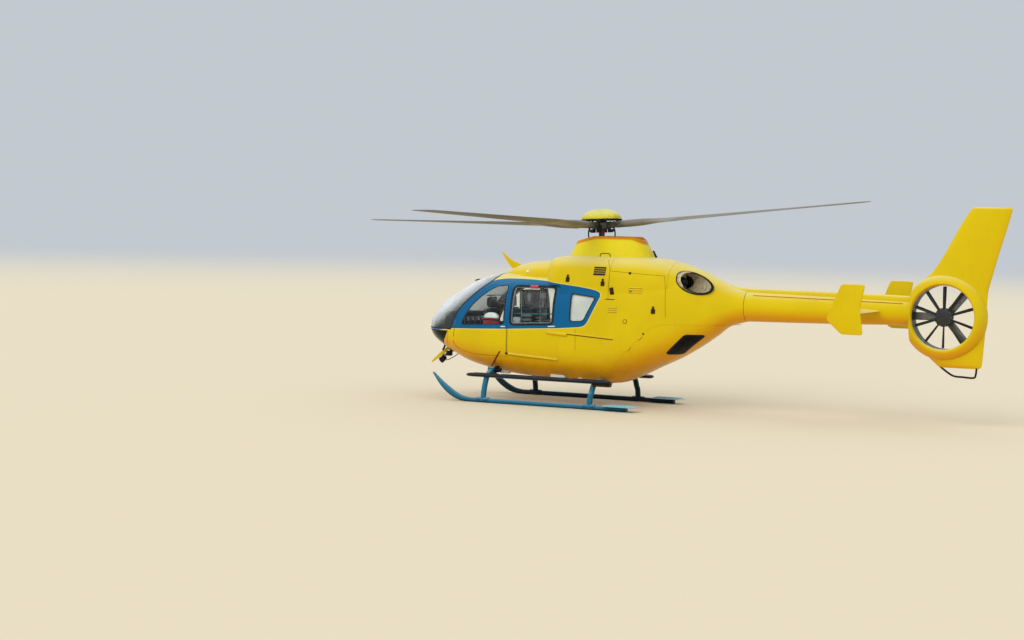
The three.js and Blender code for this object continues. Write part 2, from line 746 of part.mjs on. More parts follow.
// Fan: ten blades on a hub; behind it a gearbox pod on three struts
const FAN_BLADES = 10;
const fanBlade = (index) => {
  const rings = [
    [118, 60, 24, 1.0],
    [300, 66, 18, 0.8],
    [FAN_RADIUS - 8, 62, 12, 0.6],
  ].map(([r, chord, thick, pitch]) => {
    const ring = [];
    for (let k = 0; k < 8; k++) {
      const angle = (k / 8) * 2 * Math.PI;
      const [a, b] = [(chord / 2) * Math.cos(angle), (thick / 2) * Math.sin(angle)];
      ring.push(
        new THREE.Vector3(
          a * Math.cos(pitch) - b * Math.sin(pitch),
          a * Math.sin(pitch) + b * Math.cos(pitch),
          r,
        ),
      );
    }
    return ring;
  });
  return loft(rings).rotate([0, (index * 360) / FAN_BLADES, 0]);
};
const FAN_Y = 45;
const FAN_SHAFT = 42;
const fanHub = solidOf(
  new THREE.LatheGeometry(
    [
      [0, -34],
      [150, -34],
      [150, 34],
      [110, 62],
      [0, 74],
    ].map(([r, y]) => new THREE.Vector2(r, y)),
    24,
  ),
);
const fan = Array.from({ length: FAN_BLADES }, (_, i) => fanBlade(i))
  .reduce((sum, blade) => sum.add(blade), fanHub)
  .translate([FAN_X, FAN_Y, FAN_Z])
  .subtract(bar([FAN_X, -40, FAN_Z], [FAN_X, 62, FAN_Z], FAN_SHAFT + 0.8, 32));

const fanPod = solidOf(
  new THREE.LatheGeometry(
    [
      [0, -120],
      [70, -108],
      [118, -60],
      [128, 0],
      [128, 46],
      [0, 46],
    ].map(([r, y]) => new THREE.Vector2(r, y)),
    20,
  ),
).translate([FAN_X, -46, FAN_Z]);
const strutAngles = [0, 130, 230];
const struts = strutAngles.map((angle) =>
  box(-62, 62, -11, 11, 80, DUCT_RADIUS + 20)
    .rotate([0, 90 + angle, 0])
    .translate([FAN_X, -50, FAN_Z])
    .intersect(ductAt(-TOUCH)),
);
const fanShaft = bar([FAN_X, -20, FAN_Z], [FAN_X, 50, FAN_Z], FAN_SHAFT, 32);
const fanSupport = join(fanPod, fanShaft, ...struts);

// Drive shaft cover along the top of the boom
const coverRows = [
  // x, top, half width
  [-2230, 2225, 40],
  [-2330, 2215, 84],
  [-2700, 2128, 92],
  [-4400, 2098, 88],
  [BOOM_END + 10, 2078, 84],
];
const coverLoft = loft(
  coverRows.map(([x, top, half]) => {
    const s = { bottom: 1850, top, half, wide: 1900, lowPower: 3, upPower: 3.2 };
    return sectionRing(x, s);
  }),
);
const shaftCover = coverLoft
  .subtract(podLoft(podShape, -TOUCH, NOSE_X, POD_END - 2))
  .subtract(boomLoft(-TOUCH, 1))
  .intersect(box(BOOM_END + 1, 0, -FAR, FAR, 1980, FAR));

// Tail bumper: a bent tube under the lower fin
const tailBumper = join(
  bar([-5980, 0, 985], [-6180, 0, 835], 16),
  bar([-6180, 0, 835], [-6520, 0, 815], 16),
  bar([-6520, 0, 815], [-6560, 0, 975], 16),
).intersect(box(-FAR * 2, 0, -FAR, FAR, 0, LOWER_FIN_ROWS[3][0] - TOUCH));

// Pylon around the mast: an upright shell, open at the top
const PYLON_ROWS = [
  // height, front, back, half width
  [2400, 605, -1065, 410],
  [2560, 528, -978, 365],
  [2700, 460, -903, 314],
  [2862, 398, -822, 268],
  [2885, 406, -830, 276],
];
const pylonLoft = (inset, lowest = 0, highest = 0) =>
  loft(
    PYLON_ROWS.map(([z, front, back, half], i) => {
      const height = z + (i === 0 ? lowest : i === PYLON_ROWS.length - 1 ? highest : 0);
      const ring = [];
      for (let k = 0; k < 24; k++) {
        const angle = ((k + 0.5) / 24) * 2 * Math.PI;
        const [c, n] = [Math.cos(angle), Math.sin(angle)];
        const along = (front - back) / 2 - inset;
        ring.push(
          new THREE.Vector3(
            (front + back) / 2 + along * Math.sign(c) * Math.abs(c) ** 0.8,
            (half - inset) * Math.sign(n) * Math.abs(n) ** 0.8,
            height,
          ),
        );
      }
      return ring;
    }),
  );
const outerCleared = podLoft(podShape, -TOUCH, NOSE_X, POD_END).add(bulgeLoft(-TOUCH));
// The rim slopes down ahead of the mast and is bevelled at its back
const pylonTopCut = acrossPrism(
  [
    [-12, 2890],
    [800, 2681],
    [800, 3200],
    [-12, 3200],
  ],
  -FAR,
  FAR,
).add(
  acrossPrism(
    [
      [-660, 2892],
      [-900, 2796],
      [-900, 3200],
      [-660, 3200],
    ],
    -FAR,
    FAR,
  ),
);
const pylonCap = pylonLoft(0).intersect(box(-FAR, -330, -FAR, FAR, 2772, 2789)); // closed behind the mast
const pylon = pylonLoft(0)
  .subtract(pylonLoft(18, -10, 30))
  .add(pylonCap)
  .subtract(pylonTopCut)
  .subtract(outerCleared);

// Gearbox, engines and exhausts
const MAST_RADIUS = 52;
const MAST_FOOT = -705; // along the mast, from the blades' plane
const onMast = (solid) => solid.rotate([0, THREE.MathUtils.radToDeg(MAST_TILT), 0]).translate([0, 0, HUB_Z]);
const mastHole = onMast(bar([0, 0, -720], [0, 0, -440], 190, 24));
const swashplateStand = join(
  bar([0, 0, -392], [0, 0, -342], 178, 24),
  ...[90, 210, 330].map((angle) => {
    const a = THREE.MathUtils.degToRad(angle);
    const [c, s] = [Math.cos(a) * 150, Math.sin(a) * 150];
    return bar([c, s, -690], [c, s, -370], 17, 8);
  }),
).subtract(bar([0, 0, -800], [0, 0, -200], MAST_RADIUS + 6, 20));
const gearbox = box(-330, 300, -340, 340, DECK_Z + TOUCH, 2440)
  .add(onMast(swashplateStand))
  .subtract(onMast(bar([0, 0, MAST_FOOT - 12], [0, 0, -600], MAST_RADIUS + 0.8, 32)));
const engineBlock = box(-1380, -520, 100, 400, DECK_Z + TOUCH, 2250);

const EXHAUST_YAW = THREE.MathUtils.degToRad(21); // outboard of straight aft
const EXHAUST_RADIUS = 180;
const exhaustAt = (radius, from, to) => {
  const along = [-Math.cos(EXHAUST_YAW), Math.sin(EXHAUST_YAW), 0];
  const centre = [-1866, 344, 2158]; // where the pipe's axis leaves the skin
  return bar(
    centre.map((v, i) => v + along[i] * from),
    centre.map((v, i) => v + along[i] * to),
    radius,
    24,
  );
};
const exhaustTrim = podLoft(podShape, -34, NOSE_X, POD_END); // the pipe ends just proud of the cowling
const exhaustReach = box(-FAR, 0, 130, FAR, 1900, FAR);
const portExhaust = exhaustAt(EXHAUST_RADIUS, -300, 420)
  .intersect(exhaustTrim)
  .intersect(exhaustReach)
  .subtract(exhaustAt(EXHAUST_RADIUS - 12, -260, 500));
const exhaustHole = exhaustAt(EXHAUST_RADIUS + 0.8, -340, 500).intersect(exhaustReach);
const cowlOpenings = join(mastHole, exhaustHole, mirrored(exhaustHole));
fuselage = fuselage.subtract(exhaustHole).subtract(mirrored(exhaustHole));
const cowlPiece = (x0, x1, y0, y1) =>
  cowlShell.subtract(cowlOpenings).intersect(box(x0 + 2, x1 - 2, y0, y1, 0, FAR));

const gearboxCowling = cowlPiece(COWL_SPLIT_X, BULGE_FRONT + 40, -FAR, FAR);
const portEngineCowling = cowlPiece(ENGINE_COWL_END, COWL_SPLIT_X, 2, FAR);
const rearCowling = cowlPiece(BAY_END - 4, ENGINE_COWL_END, -FAR, FAR);
const roofFairing = roofFairingLoft
  .subtract(podLoft(roofShape, -TOUCH, NOSE_X, -1000))
  .subtract(podLoft(podShape, -TOUCH, NOSE_X, POD_END))
  .subtract(bulgeLoft(-TOUCH))
  .intersect(box(820, FAR, -FAR, FAR, 2140, FAR));

// Main rotor, built upright about its own axis with the blade plane at z = 0
const bladeSections = [
  // radius, chord, thickness, pitch in degrees, chord shift
  [428.5, 150, 96, 0, 0],
  [520, 178, 122, 3, 0],
  [760, 196, 118, 8, 0],
  [1150, 232, 78, 12, 0],
  [1420, 289, 38, 12.5, 0],
  [2600, 289, 35, 9, 0],
  [3900, 289, 32, 4.8, 0],
  [4760, 289, 30, 2, 0],
  [4960, 246, 24, 1.4, -22],
  [ROTOR_RADIUS - 6, 130, 10, 1, -74],
];
const BLADE_SIDES = 12;
const bladeRing = ([r, chord, thick, pitch, shift]) => {
  const turn = THREE.MathUtils.degToRad(pitch);
  const round = Math.min(1, thick / chord / 0.55); // 1 at the round root, small on the aerofoil
  const ring = [];
  for (let i = 0; i < BLADE_SIDES; i++) {
    const angle = (i / BLADE_SIDES) * 2 * Math.PI;
    const taper = round + (1 - round) * (0.4 + 0.6 * Math.cos(angle / 2) ** 2);
    const a = (chord / 2) * Math.cos(angle) + shift;
    const b = (thick / 2) * Math.sin(angle) * taper;
    ring.push(
      new THREE.Vector3(r, a * Math.cos(turn) - b * Math.sin(turn), a * Math.sin(turn) + b * Math.cos(turn)),
    );
  }
  return ring;
};
const bladeHeading = (i) => THREE.MathUtils.radToDeg(FIRST_BLADE) + (i * 360) / BLADE_COUNT;
const bladeSolid = loft(bladeSections.map(bladeRing)).rotate([0, -THREE.MathUtils.radToDeg(BLADE_CONE), 0]);

const hubCore = bar([0, 0, -62], [0, 0, 66], 165, 24);
// Each arm carries a horn, and a rod stands under it from the rotating plate.
const ROD_REACH = 205;
const ROD_ANGLE = 26; // ahead of its arm, in degrees
const hubArms = Array.from({ length: BLADE_COUNT }, (_, i) =>
  box(80, 428, -68, 68, -50, 52)
    .add(box(158, 212, 60, 112, -40, -6))
    .rotate([0, -THREE.MathUtils.radToDeg(BLADE_CONE), 0])
    .rotate([0, 0, bladeHeading(i)]),
);
const rotorHub = join(hubCore, ...hubArms, bar([0, 0, 50], [0, 0, 112], 90, 20));
const hubCap = solidOf(
  new THREE.LatheGeometry(
    [
      [0, 112.3],
      [300, 112.3],
      [340, 120],
      [336, 150],
      [296, 202],
      [222, 250],
      [126, 279],
      [0, 290],
    ].map(([r, y]) => new THREE.Vector2(r, y)),
    32,
  ).rotateX(Math.PI / 2),
);
const rotorMast = join(
  bar([0, 0, MAST_FOOT], [0, 0, -62.3], MAST_RADIUS, 32),
  bar([0, 0, -330], [0, 0, -296], 178, 24),
  ...Array.from({ length: BLADE_COUNT }, (_, i) => {
    const heading = THREE.MathUtils.degToRad(bladeHeading(i) + ROD_ANGLE);
    const [c, s] = [Math.cos(heading) * ROD_REACH, Math.sin(heading) * ROD_REACH];
    return bar([c, s, -322], [c, s, -20], 12, 8).add(bar([c * 0.5, s * 0.5, -313], [c, s, -313], 15, 8));
  }),
).subtract(rotorHub.translate([0, 0, -0.4]));

// Cabin furniture: floor, instrument console, seats, stretcher and equipment rack
const FLOOR_Z = 700;
const cabinFloor = podLoft(podShape, SKIN + TOUCH, NOSE_X - 60, -2330)
  .intersect(box(-480, 2560, -FAR, FAR, FLOOR_Z - 26, FLOOR_Z))
  .subtract(bowSeats[0]);
const console = join(
  box(2400, 2760, -440, 440, 1090, 1490),
  box(2440, 2540, -120, 120, FLOOR_Z + TOUCH, 1100),
  box(1900, 2450, -95, 95, FLOOR_Z + TOUCH, 940),
).intersect(podLoft(podShape, DOOR_WALL + 20, NOSE_X - 60, -2330));
const seatOutline = [
  // side view of a shell seat, from its front edge
  [2280, 1010],
  [2290, 1060],
  [1870, 1050],
  [1750, 1700],
  [1700, 1870],
  [1640, 1860],
  [1670, 1640],
  [1730, 960],
  [1830, 960],
  [1850, 740],
  [1790, FLOOR_Z + TOUCH],
  [2190, FLOOR_Z + TOUCH],
  [2130, 740],
  [2130, 960],
];
const cabinInside = podLoft(podShape, DOOR_WALL + 8, NOSE_X - 60, -2330);
const seatAt = (y, half) => acrossPrism(seatOutline, y - half, y + half).intersect(cabinInside);
const rearSeatOutline = [
  [500, 1000],
  [505, 1050],
  [120, 1040],
  [40, 1640],
  [-10, 1760],
  [-60, 1750],
  [-20, 960],
  [60, FLOOR_Z + TOUCH],
  [440, FLOOR_Z + TOUCH],
  [420, 960],
];
const rearSeat = acrossPrism(rearSeatOutline, 190, 600);
const stretcher = join(
  box(-400, 1300, -600, -140, 1000, 1100),
  box(-380, -320, -580, -160, FLOOR_Z + TOUCH, 1010),
  box(1200, 1260, -580, -160, FLOOR_Z + TOUCH, 1010),
);

// Small things outside
const upperCutter = acrossPrism(
  [
    [1500, 2330],
    [1560, 2372],
    [1700, 2420],
    [1880, 2560],
    [1895, 2550],
    [1790, 2400],
    [1700, 2290],
    [1600, 2270],
  ],
  -9,
  9,
)
  .subtract(roofFairingLoft.scale([1, 1, 1]).translate([0, 0, TOUCH]))
  .subtract(podLoft(roofShape, -TOUCH, NOSE_X, -1000));
const lowerCutter = acrossPrism(
  [
    [2800, 960],
    [2960, 1020],
    [3005, 850],
    [3246, 572],
    [3226, 550],
    [2930, 712],
    [2850, 800],
  ],
  -9,
  9,
).subtract(podLoft(podShape, -TOUCH, NOSE_X, POD_END));

// Materials
const paint = (color, roughness = 0.28, metalness = 0.0) =>
  new THREE.MeshStandardMaterial({ color, roughness, metalness });
const MATERIALS = {
  yellow: paint(0xf2c800),
  blue: paint(0x0f6fa8),
  glass: new THREE.MeshStandardMaterial({
    color: 0x9fb4bd,
    roughness: 0.05,
    metalness: 0,
    transparent: true,
    opacity: 0.35,
  }),
  darkGlass: paint(0x1a1d1e, 0.1),
  steel: paint(0x8d9092, 0.4, 0.9),
  blade: paint(0x5a5348, 0.6),
  black: paint(0x202225, 0.6),
  fabric: paint(0x2b2d31, 0.9),
};

const add = (name, solid, material) => {
  parts[name] = [solid, material];
};
const addPair = (name, solid, material) => {
  add(`left_${name}`, solid, material);
  add(`right_${name}`, mirrored(solid), material);
};

add("fuselage_shell", fuselage, MATERIALS.yellow);
for (const name of ["front_door", "sliding_door", "clamshell_door"])
  addPair(name, portPieces[name], MATERIALS.yellow);
for (const name of ["windshield", "front_door_window", "sliding_door_window", "rear_side_window"])
  addPair(name, portPieces[name], MATERIALS.glass);
for (const name of ["chin_window", "clamshell_window"]) addPair(name, portPieces[name], MATERIALS.darkGlass);
add("roof_fairing", roofFairing, MATERIALS.yellow);
add("gearbox_cowling", gearboxCowling, MATERIALS.yellow);
addPair("engine_cowling", portEngineCowling, MATERIALS.yellow);
add("rear_cowling", rearCowling, MATERIALS.yellow);
add("mast_pylon", pylon, MATERIALS.yellow);
add("main_gearbox", gearbox, MATERIALS.steel);
addPair("engine", engineBlock, MATERIALS.steel);
addPair("exhaust", portExhaust, MATERIALS.steel);
add("tail_boom", boomTube, MATERIALS.yellow);
add("drive_shaft_cover", shaftCover, MATERIALS.yellow);
add("tail_fin", tailFin, MATERIALS.yellow);
add("tail_rotor_support", fanSupport, MATERIALS.black);
add("tail_rotor", fan, MATERIALS.black);
add("tailplane", tailplane, MATERIALS.yellow);
addPair("end_plate", portEndPlate, MATERIALS.yellow);
add("tail_bumper", tailBumper, MATERIALS.blue);
addPair("skid", skidWithSaddles, MATERIALS.blue);
add("front_cross_tube", bows[0], MATERIALS.blue);
add("rear_cross_tube", bows[1], MATERIALS.blue);
addPair("boarding_step", portStep, MATERIALS.blue);
add("rotor_hub", onMast(rotorHub), MATERIALS.black);
add("hub_cap", onMast(hubCap), MATERIALS.yellow);
add("rotor_mast", onMast(rotorMast), MATERIALS.steel);
for (let i = 0; i < BLADE_COUNT; i++)
  add(`rotor_blade_${i + 1}`, onMast(bladeSolid.rotate([0, 0, bladeHeading(i)])), MATERIALS.blade);
add("cabin_floor", cabinFloor, MATERIALS.black);
add("instrument_console", console, MATERIALS.black);
addPair("pilot_seat", seatAt(380, 230), MATERIALS.fabric);
add("attendant_seat", rearSeat, MATERIALS.fabric);
add("stretcher", stretcher, MATERIALS.fabric);
add("upper_wire_cutter", upperCutter, MATERIALS.yellow);
add("lower_wire_cutter", lowerCutter, MATERIALS.yellow);

// The origin lies halfway between the front blade's tip and the tail, on the ground
const spans = Object.values(parts).map(([solid]) => solid.boundingBox());
const MAST_X = -(Math.min(...spans.map((s) => s.min[0])) + Math.max(...spans.map((s) => s.max[0]))) / 2;

const helicopter = new THREE.Group();
helicopter.position.x = MAST_X;
for (const [name, [solid, material]] of Object.entries(parts)) {
  const mesh = new THREE.Mesh(geometryOf(solid), material);
  mesh.name = name;
  helicopter.add(mesh);
}

export default helicopter;
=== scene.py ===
import math
from functools import partial

import bmesh
import bpy
import numpy as np
from mathutils import Matrix, Vector


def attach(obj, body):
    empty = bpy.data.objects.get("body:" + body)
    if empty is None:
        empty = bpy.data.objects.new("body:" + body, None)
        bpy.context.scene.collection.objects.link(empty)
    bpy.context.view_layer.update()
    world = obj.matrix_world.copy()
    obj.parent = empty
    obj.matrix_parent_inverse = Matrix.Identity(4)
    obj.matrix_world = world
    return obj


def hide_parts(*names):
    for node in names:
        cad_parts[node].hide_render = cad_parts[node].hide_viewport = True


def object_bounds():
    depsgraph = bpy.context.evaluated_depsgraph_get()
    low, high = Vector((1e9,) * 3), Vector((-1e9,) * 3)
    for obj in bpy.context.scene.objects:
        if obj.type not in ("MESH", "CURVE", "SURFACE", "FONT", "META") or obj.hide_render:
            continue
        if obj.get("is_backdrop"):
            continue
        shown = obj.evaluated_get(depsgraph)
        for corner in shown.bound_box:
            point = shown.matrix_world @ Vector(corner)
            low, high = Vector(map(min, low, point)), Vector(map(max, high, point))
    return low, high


# A light rescue helicopter with a shrouded tail rotor, finished around its CAD frame.
# Tables are in millimetres from the main rotor's axis, +X to the nose, +Y to port, +Z up.

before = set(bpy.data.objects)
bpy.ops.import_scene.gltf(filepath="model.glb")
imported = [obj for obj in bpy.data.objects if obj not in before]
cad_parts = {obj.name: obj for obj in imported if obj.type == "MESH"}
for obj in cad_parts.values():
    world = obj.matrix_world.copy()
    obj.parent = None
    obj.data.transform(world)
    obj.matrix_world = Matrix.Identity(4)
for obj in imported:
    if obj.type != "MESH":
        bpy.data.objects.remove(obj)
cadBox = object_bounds()
scene = bpy.context.scene
print("frame loaded:", len(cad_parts), "nodes")

mm = 0.001
mastX = 1008.996  # the rotor's axis stands this far ahead of the frame's origin
far = 9000
exhaust = {"centre": (-1866, 344, 2158), "yaw": 21, "radius": 180, "wall": 12, "lip": 12, "proud": 34,
           "collar": 15}


def linear(hexColor):
    # sRGB hex to the linear colour that shaders want
    parts = [int(hexColor[i:i + 2], 16) / 255 for i in (1, 3, 5)]
    return tuple(c / 12.92 if c <= 0.04045 else ((c + 0.055) / 1.055) ** 2.4 for c in parts) + (1.0,)


def addNode(tree, kind, *inputs, output=0, **settings):
    # Adds a node and gives one of its outputs; inputs come in order, or by name in a dictionary
    node = tree.nodes.new(kind if "Node" in kind else "ShaderNode" + kind)
    for name, value in settings.items():
        setattr(node, name, value)
    given = inputs[0] if inputs and isinstance(inputs[0], dict) else dict(enumerate(inputs))
    for at, value in given.items():
        if isinstance(value, bpy.types.NodeSocket):
            tree.links.new(value, node.inputs[at])
        else:
            node.inputs[at].default_value = value
    return node.outputs[output] if len(node.outputs) else node


def newMaterial(name):
    material = bpy.data.materials.new(name)
    material.use_nodes = True
    material.node_tree.nodes.clear()
    add = partial(addNode, material.node_tree)
    return material, add, add("TexCoord", output="Object")


# Camera: the photograph's place, rolled a little, as solved from the aircraft's own points

cameraView = {"target": (2.6756, 0, 1.3722), "distance": 38.8, "bearing": 26.48, "height": 2.96,
              "roll": -1.39, "lens": 78.15, "sensor": 36}


def makeCamera(v):
    bearing, height, roll = (math.radians(v[k]) for k in ("bearing", "height", "roll"))
    level = math.cos(height)
    back = Vector((-math.sin(bearing) * level, math.cos(bearing) * level, math.sin(height)))
    right = (-back).cross(Vector((0, 0, 1))).normalized()
    up = right.cross(-back)
    side = right * math.cos(roll) - up * math.sin(roll)
    top = right * math.sin(roll) + up * math.cos(roll)
    data = bpy.data.cameras.new("photoCamera")
    data.lens, data.sensor_width, data.clip_end = v["lens"], v["sensor"], 500
    camera = bpy.data.objects.new("photoCamera", data)
    turn = Matrix((side, top, back)).transposed().to_4x4()
    camera.matrix_world = Matrix.Translation(Vector(v["target"]) + back * v["distance"]) @ turn
    scene.collection.objects.link(camera)
    scene.camera = camera


makeCamera(cameraView)

# Studio: overcast sky, one broad soft lamp, a pale floor that fades into the backdrop

studio = {"floor": "#D6CAB0", "backdrop": "#C2C9D0", "zenith": 1.15, "horizon": 0.66, "ground": 0.4,
          "lampPower": 1.35, "lampAngle": 45, "lampFrom": (0.2, 0.8, 0.57), "fadeFrom": 30, "fadeTo": 120}


def makeStudio(v):
    world = bpy.data.worlds.new("overcast")
    world.use_nodes = True
    world.node_tree.nodes.clear()
    add = partial(addNode, world.node_tree)
    height = add("SeparateXYZ", add("TexCoord", output="Generated"), output="Z")
    sky = add("ValToRGB", add("MapRange", height, -1.0, 1.0))
    tones = sky.node.color_ramp.elements
    below, above = tones
    below.position, below.color = 0.45, (v["ground"], v["ground"] * 0.92, v["ground"] * 0.8, 1)
    above.position, above.color = 0.95, (v["zenith"] * 0.97, v["zenith"] * 0.99, v["zenith"], 1)
    tones.new(0.53).color = (v["horizon"] * 0.95, v["horizon"] * 0.98, v["horizon"], 1)
    seen = add("Background", linear(v["backdrop"]), 1.0)
    add("OutputWorld", add("MixShader", add("LightPath", output="Is Camera Ray"),
                           add("Background", sky, 1.0), seen))
    scene.world = world

    lamp = bpy.data.lights.new("softSun", "SUN")
    lamp.energy, lamp.angle = v["lampPower"], math.radians(v["lampAngle"])
    holder = bpy.data.objects.new("softSun", lamp)
    holder.visible_glossy = False  # a soft box this broad would whiten every gloss
    holder.matrix_world = Vector(v["lampFrom"]).to_track_quat("Z", "Y").to_matrix().to_4x4()
    scene.collection.objects.link(holder)

    disc = bmesh.new()
    bmesh.ops.create_circle(disc, cap_ends=True, segments=96, radius=v["fadeTo"] + 5)
    data = bpy.data.meshes.new("studioFloor")
    disc.to_mesh(data)
    disc.free()
    floor = bpy.data.objects.new("studioFloor", data)
    scene.collection.objects.link(floor)
    paper, add, place = newMaterial("mattPaperFloor")  # seamless paper: even, matt, no sheen
    away = add("VectorMath", place, operation="LENGTH", output="Value")
    fade = add("MapRange", away, v["fadeFrom"], v["fadeTo"], interpolation_type="SMOOTHERSTEP")
    sheet = add("BsdfPrincipled", {"Base Color": linear(v["floor"]), "Roughness": 0.95})
    add("OutputMaterial", add("MixShader", fade, sheet, add("BsdfTransparent")))
    data.materials.append(paper)
    floor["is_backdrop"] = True
    scene.view_settings.view_transform = "Standard"


makeStudio(studio)

# Materials


def blotches(add, place, size, detail=3.0, rough=0.55, stretch=None):
    # a cloudy pattern about size metres across, drawn out where stretch is small
    if stretch:
        place = add("Mapping", {"Vector": place, "Scale": stretch})
    return add("TexNoise", {"Vector": place, "Scale": 1 / size, "Detail": detail, "Roughness": rough})


def layered(add, color, *layers):
    # a colour with others laid over it in turn, each by its share
    for share, above in layers:
        below, above = (linear(c) if isinstance(c, str) else c for c in (color, above))
        color = add("Mix", {0: share, 6: below, 7: above}, output=2, data_type="RGBA")
    return color


def finishSurface(add, **inputs):
    add("OutputMaterial", add("BsdfPrincipled", {k.replace("_", " "): v for k, v in inputs.items()}))


def exhaustRing(add, place):
    # 1 on the skin close round either exhaust, 0 elsewhere
    yaw = math.radians(exhaust["yaw"])
    x, y, z = exhaust["centre"]
    parts = add("SeparateXYZ", place).node.outputs
    folded = add("CombineXYZ", parts["X"], add("Math", parts["Y"], operation="ABSOLUTE"), parts["Z"])
    reach = add("VectorMath", folded, ((x + mastX) * mm, y * mm, z * mm), operation="SUBTRACT")
    across = add("VectorMath", reach, (-math.cos(yaw), math.sin(yaw), 0), operation="CROSS_PRODUCT")
    distance = add("VectorMath", across, operation="LENGTH", output="Value")
    rim = (exhaust["radius"] + exhaust["collar"]) * mm
    return add("MapRange", distance, rim + 0.003, rim)


def sprayedPaint(name, colors, band=None, film="#6B5A2E", filmFrom=1.0, scuffs=0.0, under=None,
                 edge="#F0E890", top="#E4DDA4", skyHighlightShare=0.5, starboardShade=None):
    # Two-pack aircraft enamel: a soft gloss under clear coat, faint orange peel; painted shade (the under
    # colour, a warm bounce tone) on down-facing surfaces, a painted sky highlight on up-facing ones
    material, add, place = newMaterial(name)
    patches = add("MapRange", blotches(add, place, 0.9, 4), 0.35, 0.7)
    color, skyHighlight = layered(add, colors[0], (patches, colors[1])), linear(top)
    if band:
        inward = add("Attribute", attribute_name="bandEdge", output="Fac")
        inside = add("MapRange", inward, -0.0015, 0.0015)
        line = add("MapRange", add("Math", add("Math", inward, 0.006), operation="ABSOLUTE"), 0.006, 0.004)
        color = layered(add, color, (inside, layered(add, band[0], (patches, band[1]))),
                        (add("Math", line, 0.5, operation="MULTIPLY"), edge),
                        (exhaustRing(add, place), "#2E2416"))  # soot at the exhaust's rim
        skyHighlight = layered(add, top, (inside, "#3F87A2"))
    facing = add("SeparateXYZ", add("NewGeometry", output="Normal"), output="Z")
    if under:
        # painted shade: down-facing surfaces take the under colour, standing for warm light bounced up from
        # the ground
        color = layered(add, color, (add("MapRange", facing, 0.02, -0.62, 0, 0.92), under))
    color = layered(add, color, (add("MapRange", facing, 0.45, 1.0, 0, skyHighlightShare), skyHighlight))  # painted sky highlight: up-facing surfaces paler
    if starboardShade:  # painted shade: the starboard side darker, as in the aircraft's shadow
        across = add("SeparateXYZ", place, output="Y")
        color = layered(add, color, (add("MapRange", across, -0.6, -0.8, 0, 0.85), starboardShade))
    height = add("SeparateXYZ", place, output="Z")
    belowWaist = add("MapRange", height, filmFrom, filmFrom - 0.6)  # grime gathers under the belly
    grime = add("Math", belowWaist, add("MapRange", blotches(add, place, 0.25, 5), 0.4, 0.75),
                operation="MULTIPLY")
    rain = add("MapRange", blotches(add, place, 0.3, 3, 0.6, (5, 5, 0.5)), 0.62, 0.8, 0, 0.12)
    color = layered(add, color, (add("Math", grime, 0.35, rain, operation="MULTIPLY_ADD"), film))
    if scuffs:
        rubbed = blotches(add, place, 0.05, 6, 0.7, (0.4, 1, 1))
        color = layered(add, color, (add("MapRange", rubbed, 0.66, 0.7, 0, scuffs), "#8C9092"))
    ripple = add("Bump", {"Height": blotches(add, place, 0.45, 1), "Distance": 0.004,
                          "Strength": 0.4})  # panels are never quite flat
    peel = add("Bump", {"Height": blotches(add, place, 0.012, 2), "Distance": 0.0004, "Strength": 0.2,
                        "Normal": ripple})  # orange peel, coarse to show
    finishSurface(add, Base_Color=color, Roughness=add("MapRange", grime, 0, 1, 0.3, 0.55), Normal=peel,
                  IOR=1.24, Coat_Weight=0.12, Coat_IOR=1.3, Coat_Roughness=0.06, Coat_Normal=ripple,
                  Sheen_Weight=0.15, Sheen_Roughness=0.3)
    return material


def mouldedPlastic(name, color, second, grain, rough, gloss=0.4):
    # Moulded trim plastic: matt, with a fine leather grain pressed into it
    material, add, place = newMaterial(name)
    mottled = layered(add, color, (add("MapRange", blotches(add, place, 0.15), 0.3, 0.7), second))
    grained = add("Bump", {"Height": blotches(add, place, grain, 2), "Distance": 0.0008, "Strength": 0.35})
    worn = add("MapRange", blotches(add, place, 0.08, 4), 0.4, 0.7, rough - 0.08, rough + 0.08)
    finishSurface(add, Base_Color=mottled, Roughness=worn, Normal=grained, Specular_IOR_Level=gloss)
    return material


def wornMetal(name, color, second, rough, grain, stretch=None, metallic=1.0, stain=None):
    # Machined, cast or blackened metal: fine tool or casting grain, patches handled smoother, stains
    material, add, place = newMaterial(name)
    patches = add("MapRange", blotches(add, place, 0.06, 5, 0.6), 0.35, 0.65)
    tone = layered(add, color, (patches, second))
    if stain:
        tone = layered(add, tone, (add("MapRange", blotches(add, place, 0.12, 6, 0.65), 0.55, 0.72), stain))
    grained = add("Bump", {"Height": blotches(add, place, grain, 2, 0.5, stretch), "Distance": 0.0006,
                           "Strength": 0.4})
    finishSurface(add, Base_Color=tone, Metallic=metallic, Normal=grained,
                  Roughness=add("MapRange", patches, 0, 1, rough - 0.1, rough + 0.1))
    return material


def wovenCloth(name, color, second, thread=0.006):
    # Plain weave: over-and-under threads, drawn coarser than the real 1 mm to show, soft sheen
    material, add, place = newMaterial(name)
    across, along, deep = (add("TexWave", {"Vector": place, "Scale": 0.5 / thread / 3.14}, output="Fac",
                               bands_direction=way) for way in ("X", "Y", "Z"))
    weave = add("Math", across, along, deep, operation="MULTIPLY_ADD")
    faded = add("MapRange", blotches(add, place, 0.12, 4), 0.35, 0.7)
    tone = layered(add, color, (faded, second), (add("MapRange", weave, 0, 1.2, 0.25, 0), "#101012"))
    finishSurface(add, Base_Color=tone, Roughness=0.9, Sheen_Weight=0.3, Sheen_Roughness=0.5,
                  Normal=add("Bump", {"Height": weave, "Distance": 0.0012, "Strength": 0.5}),
                  Specular_IOR_Level=0.25)
    return material


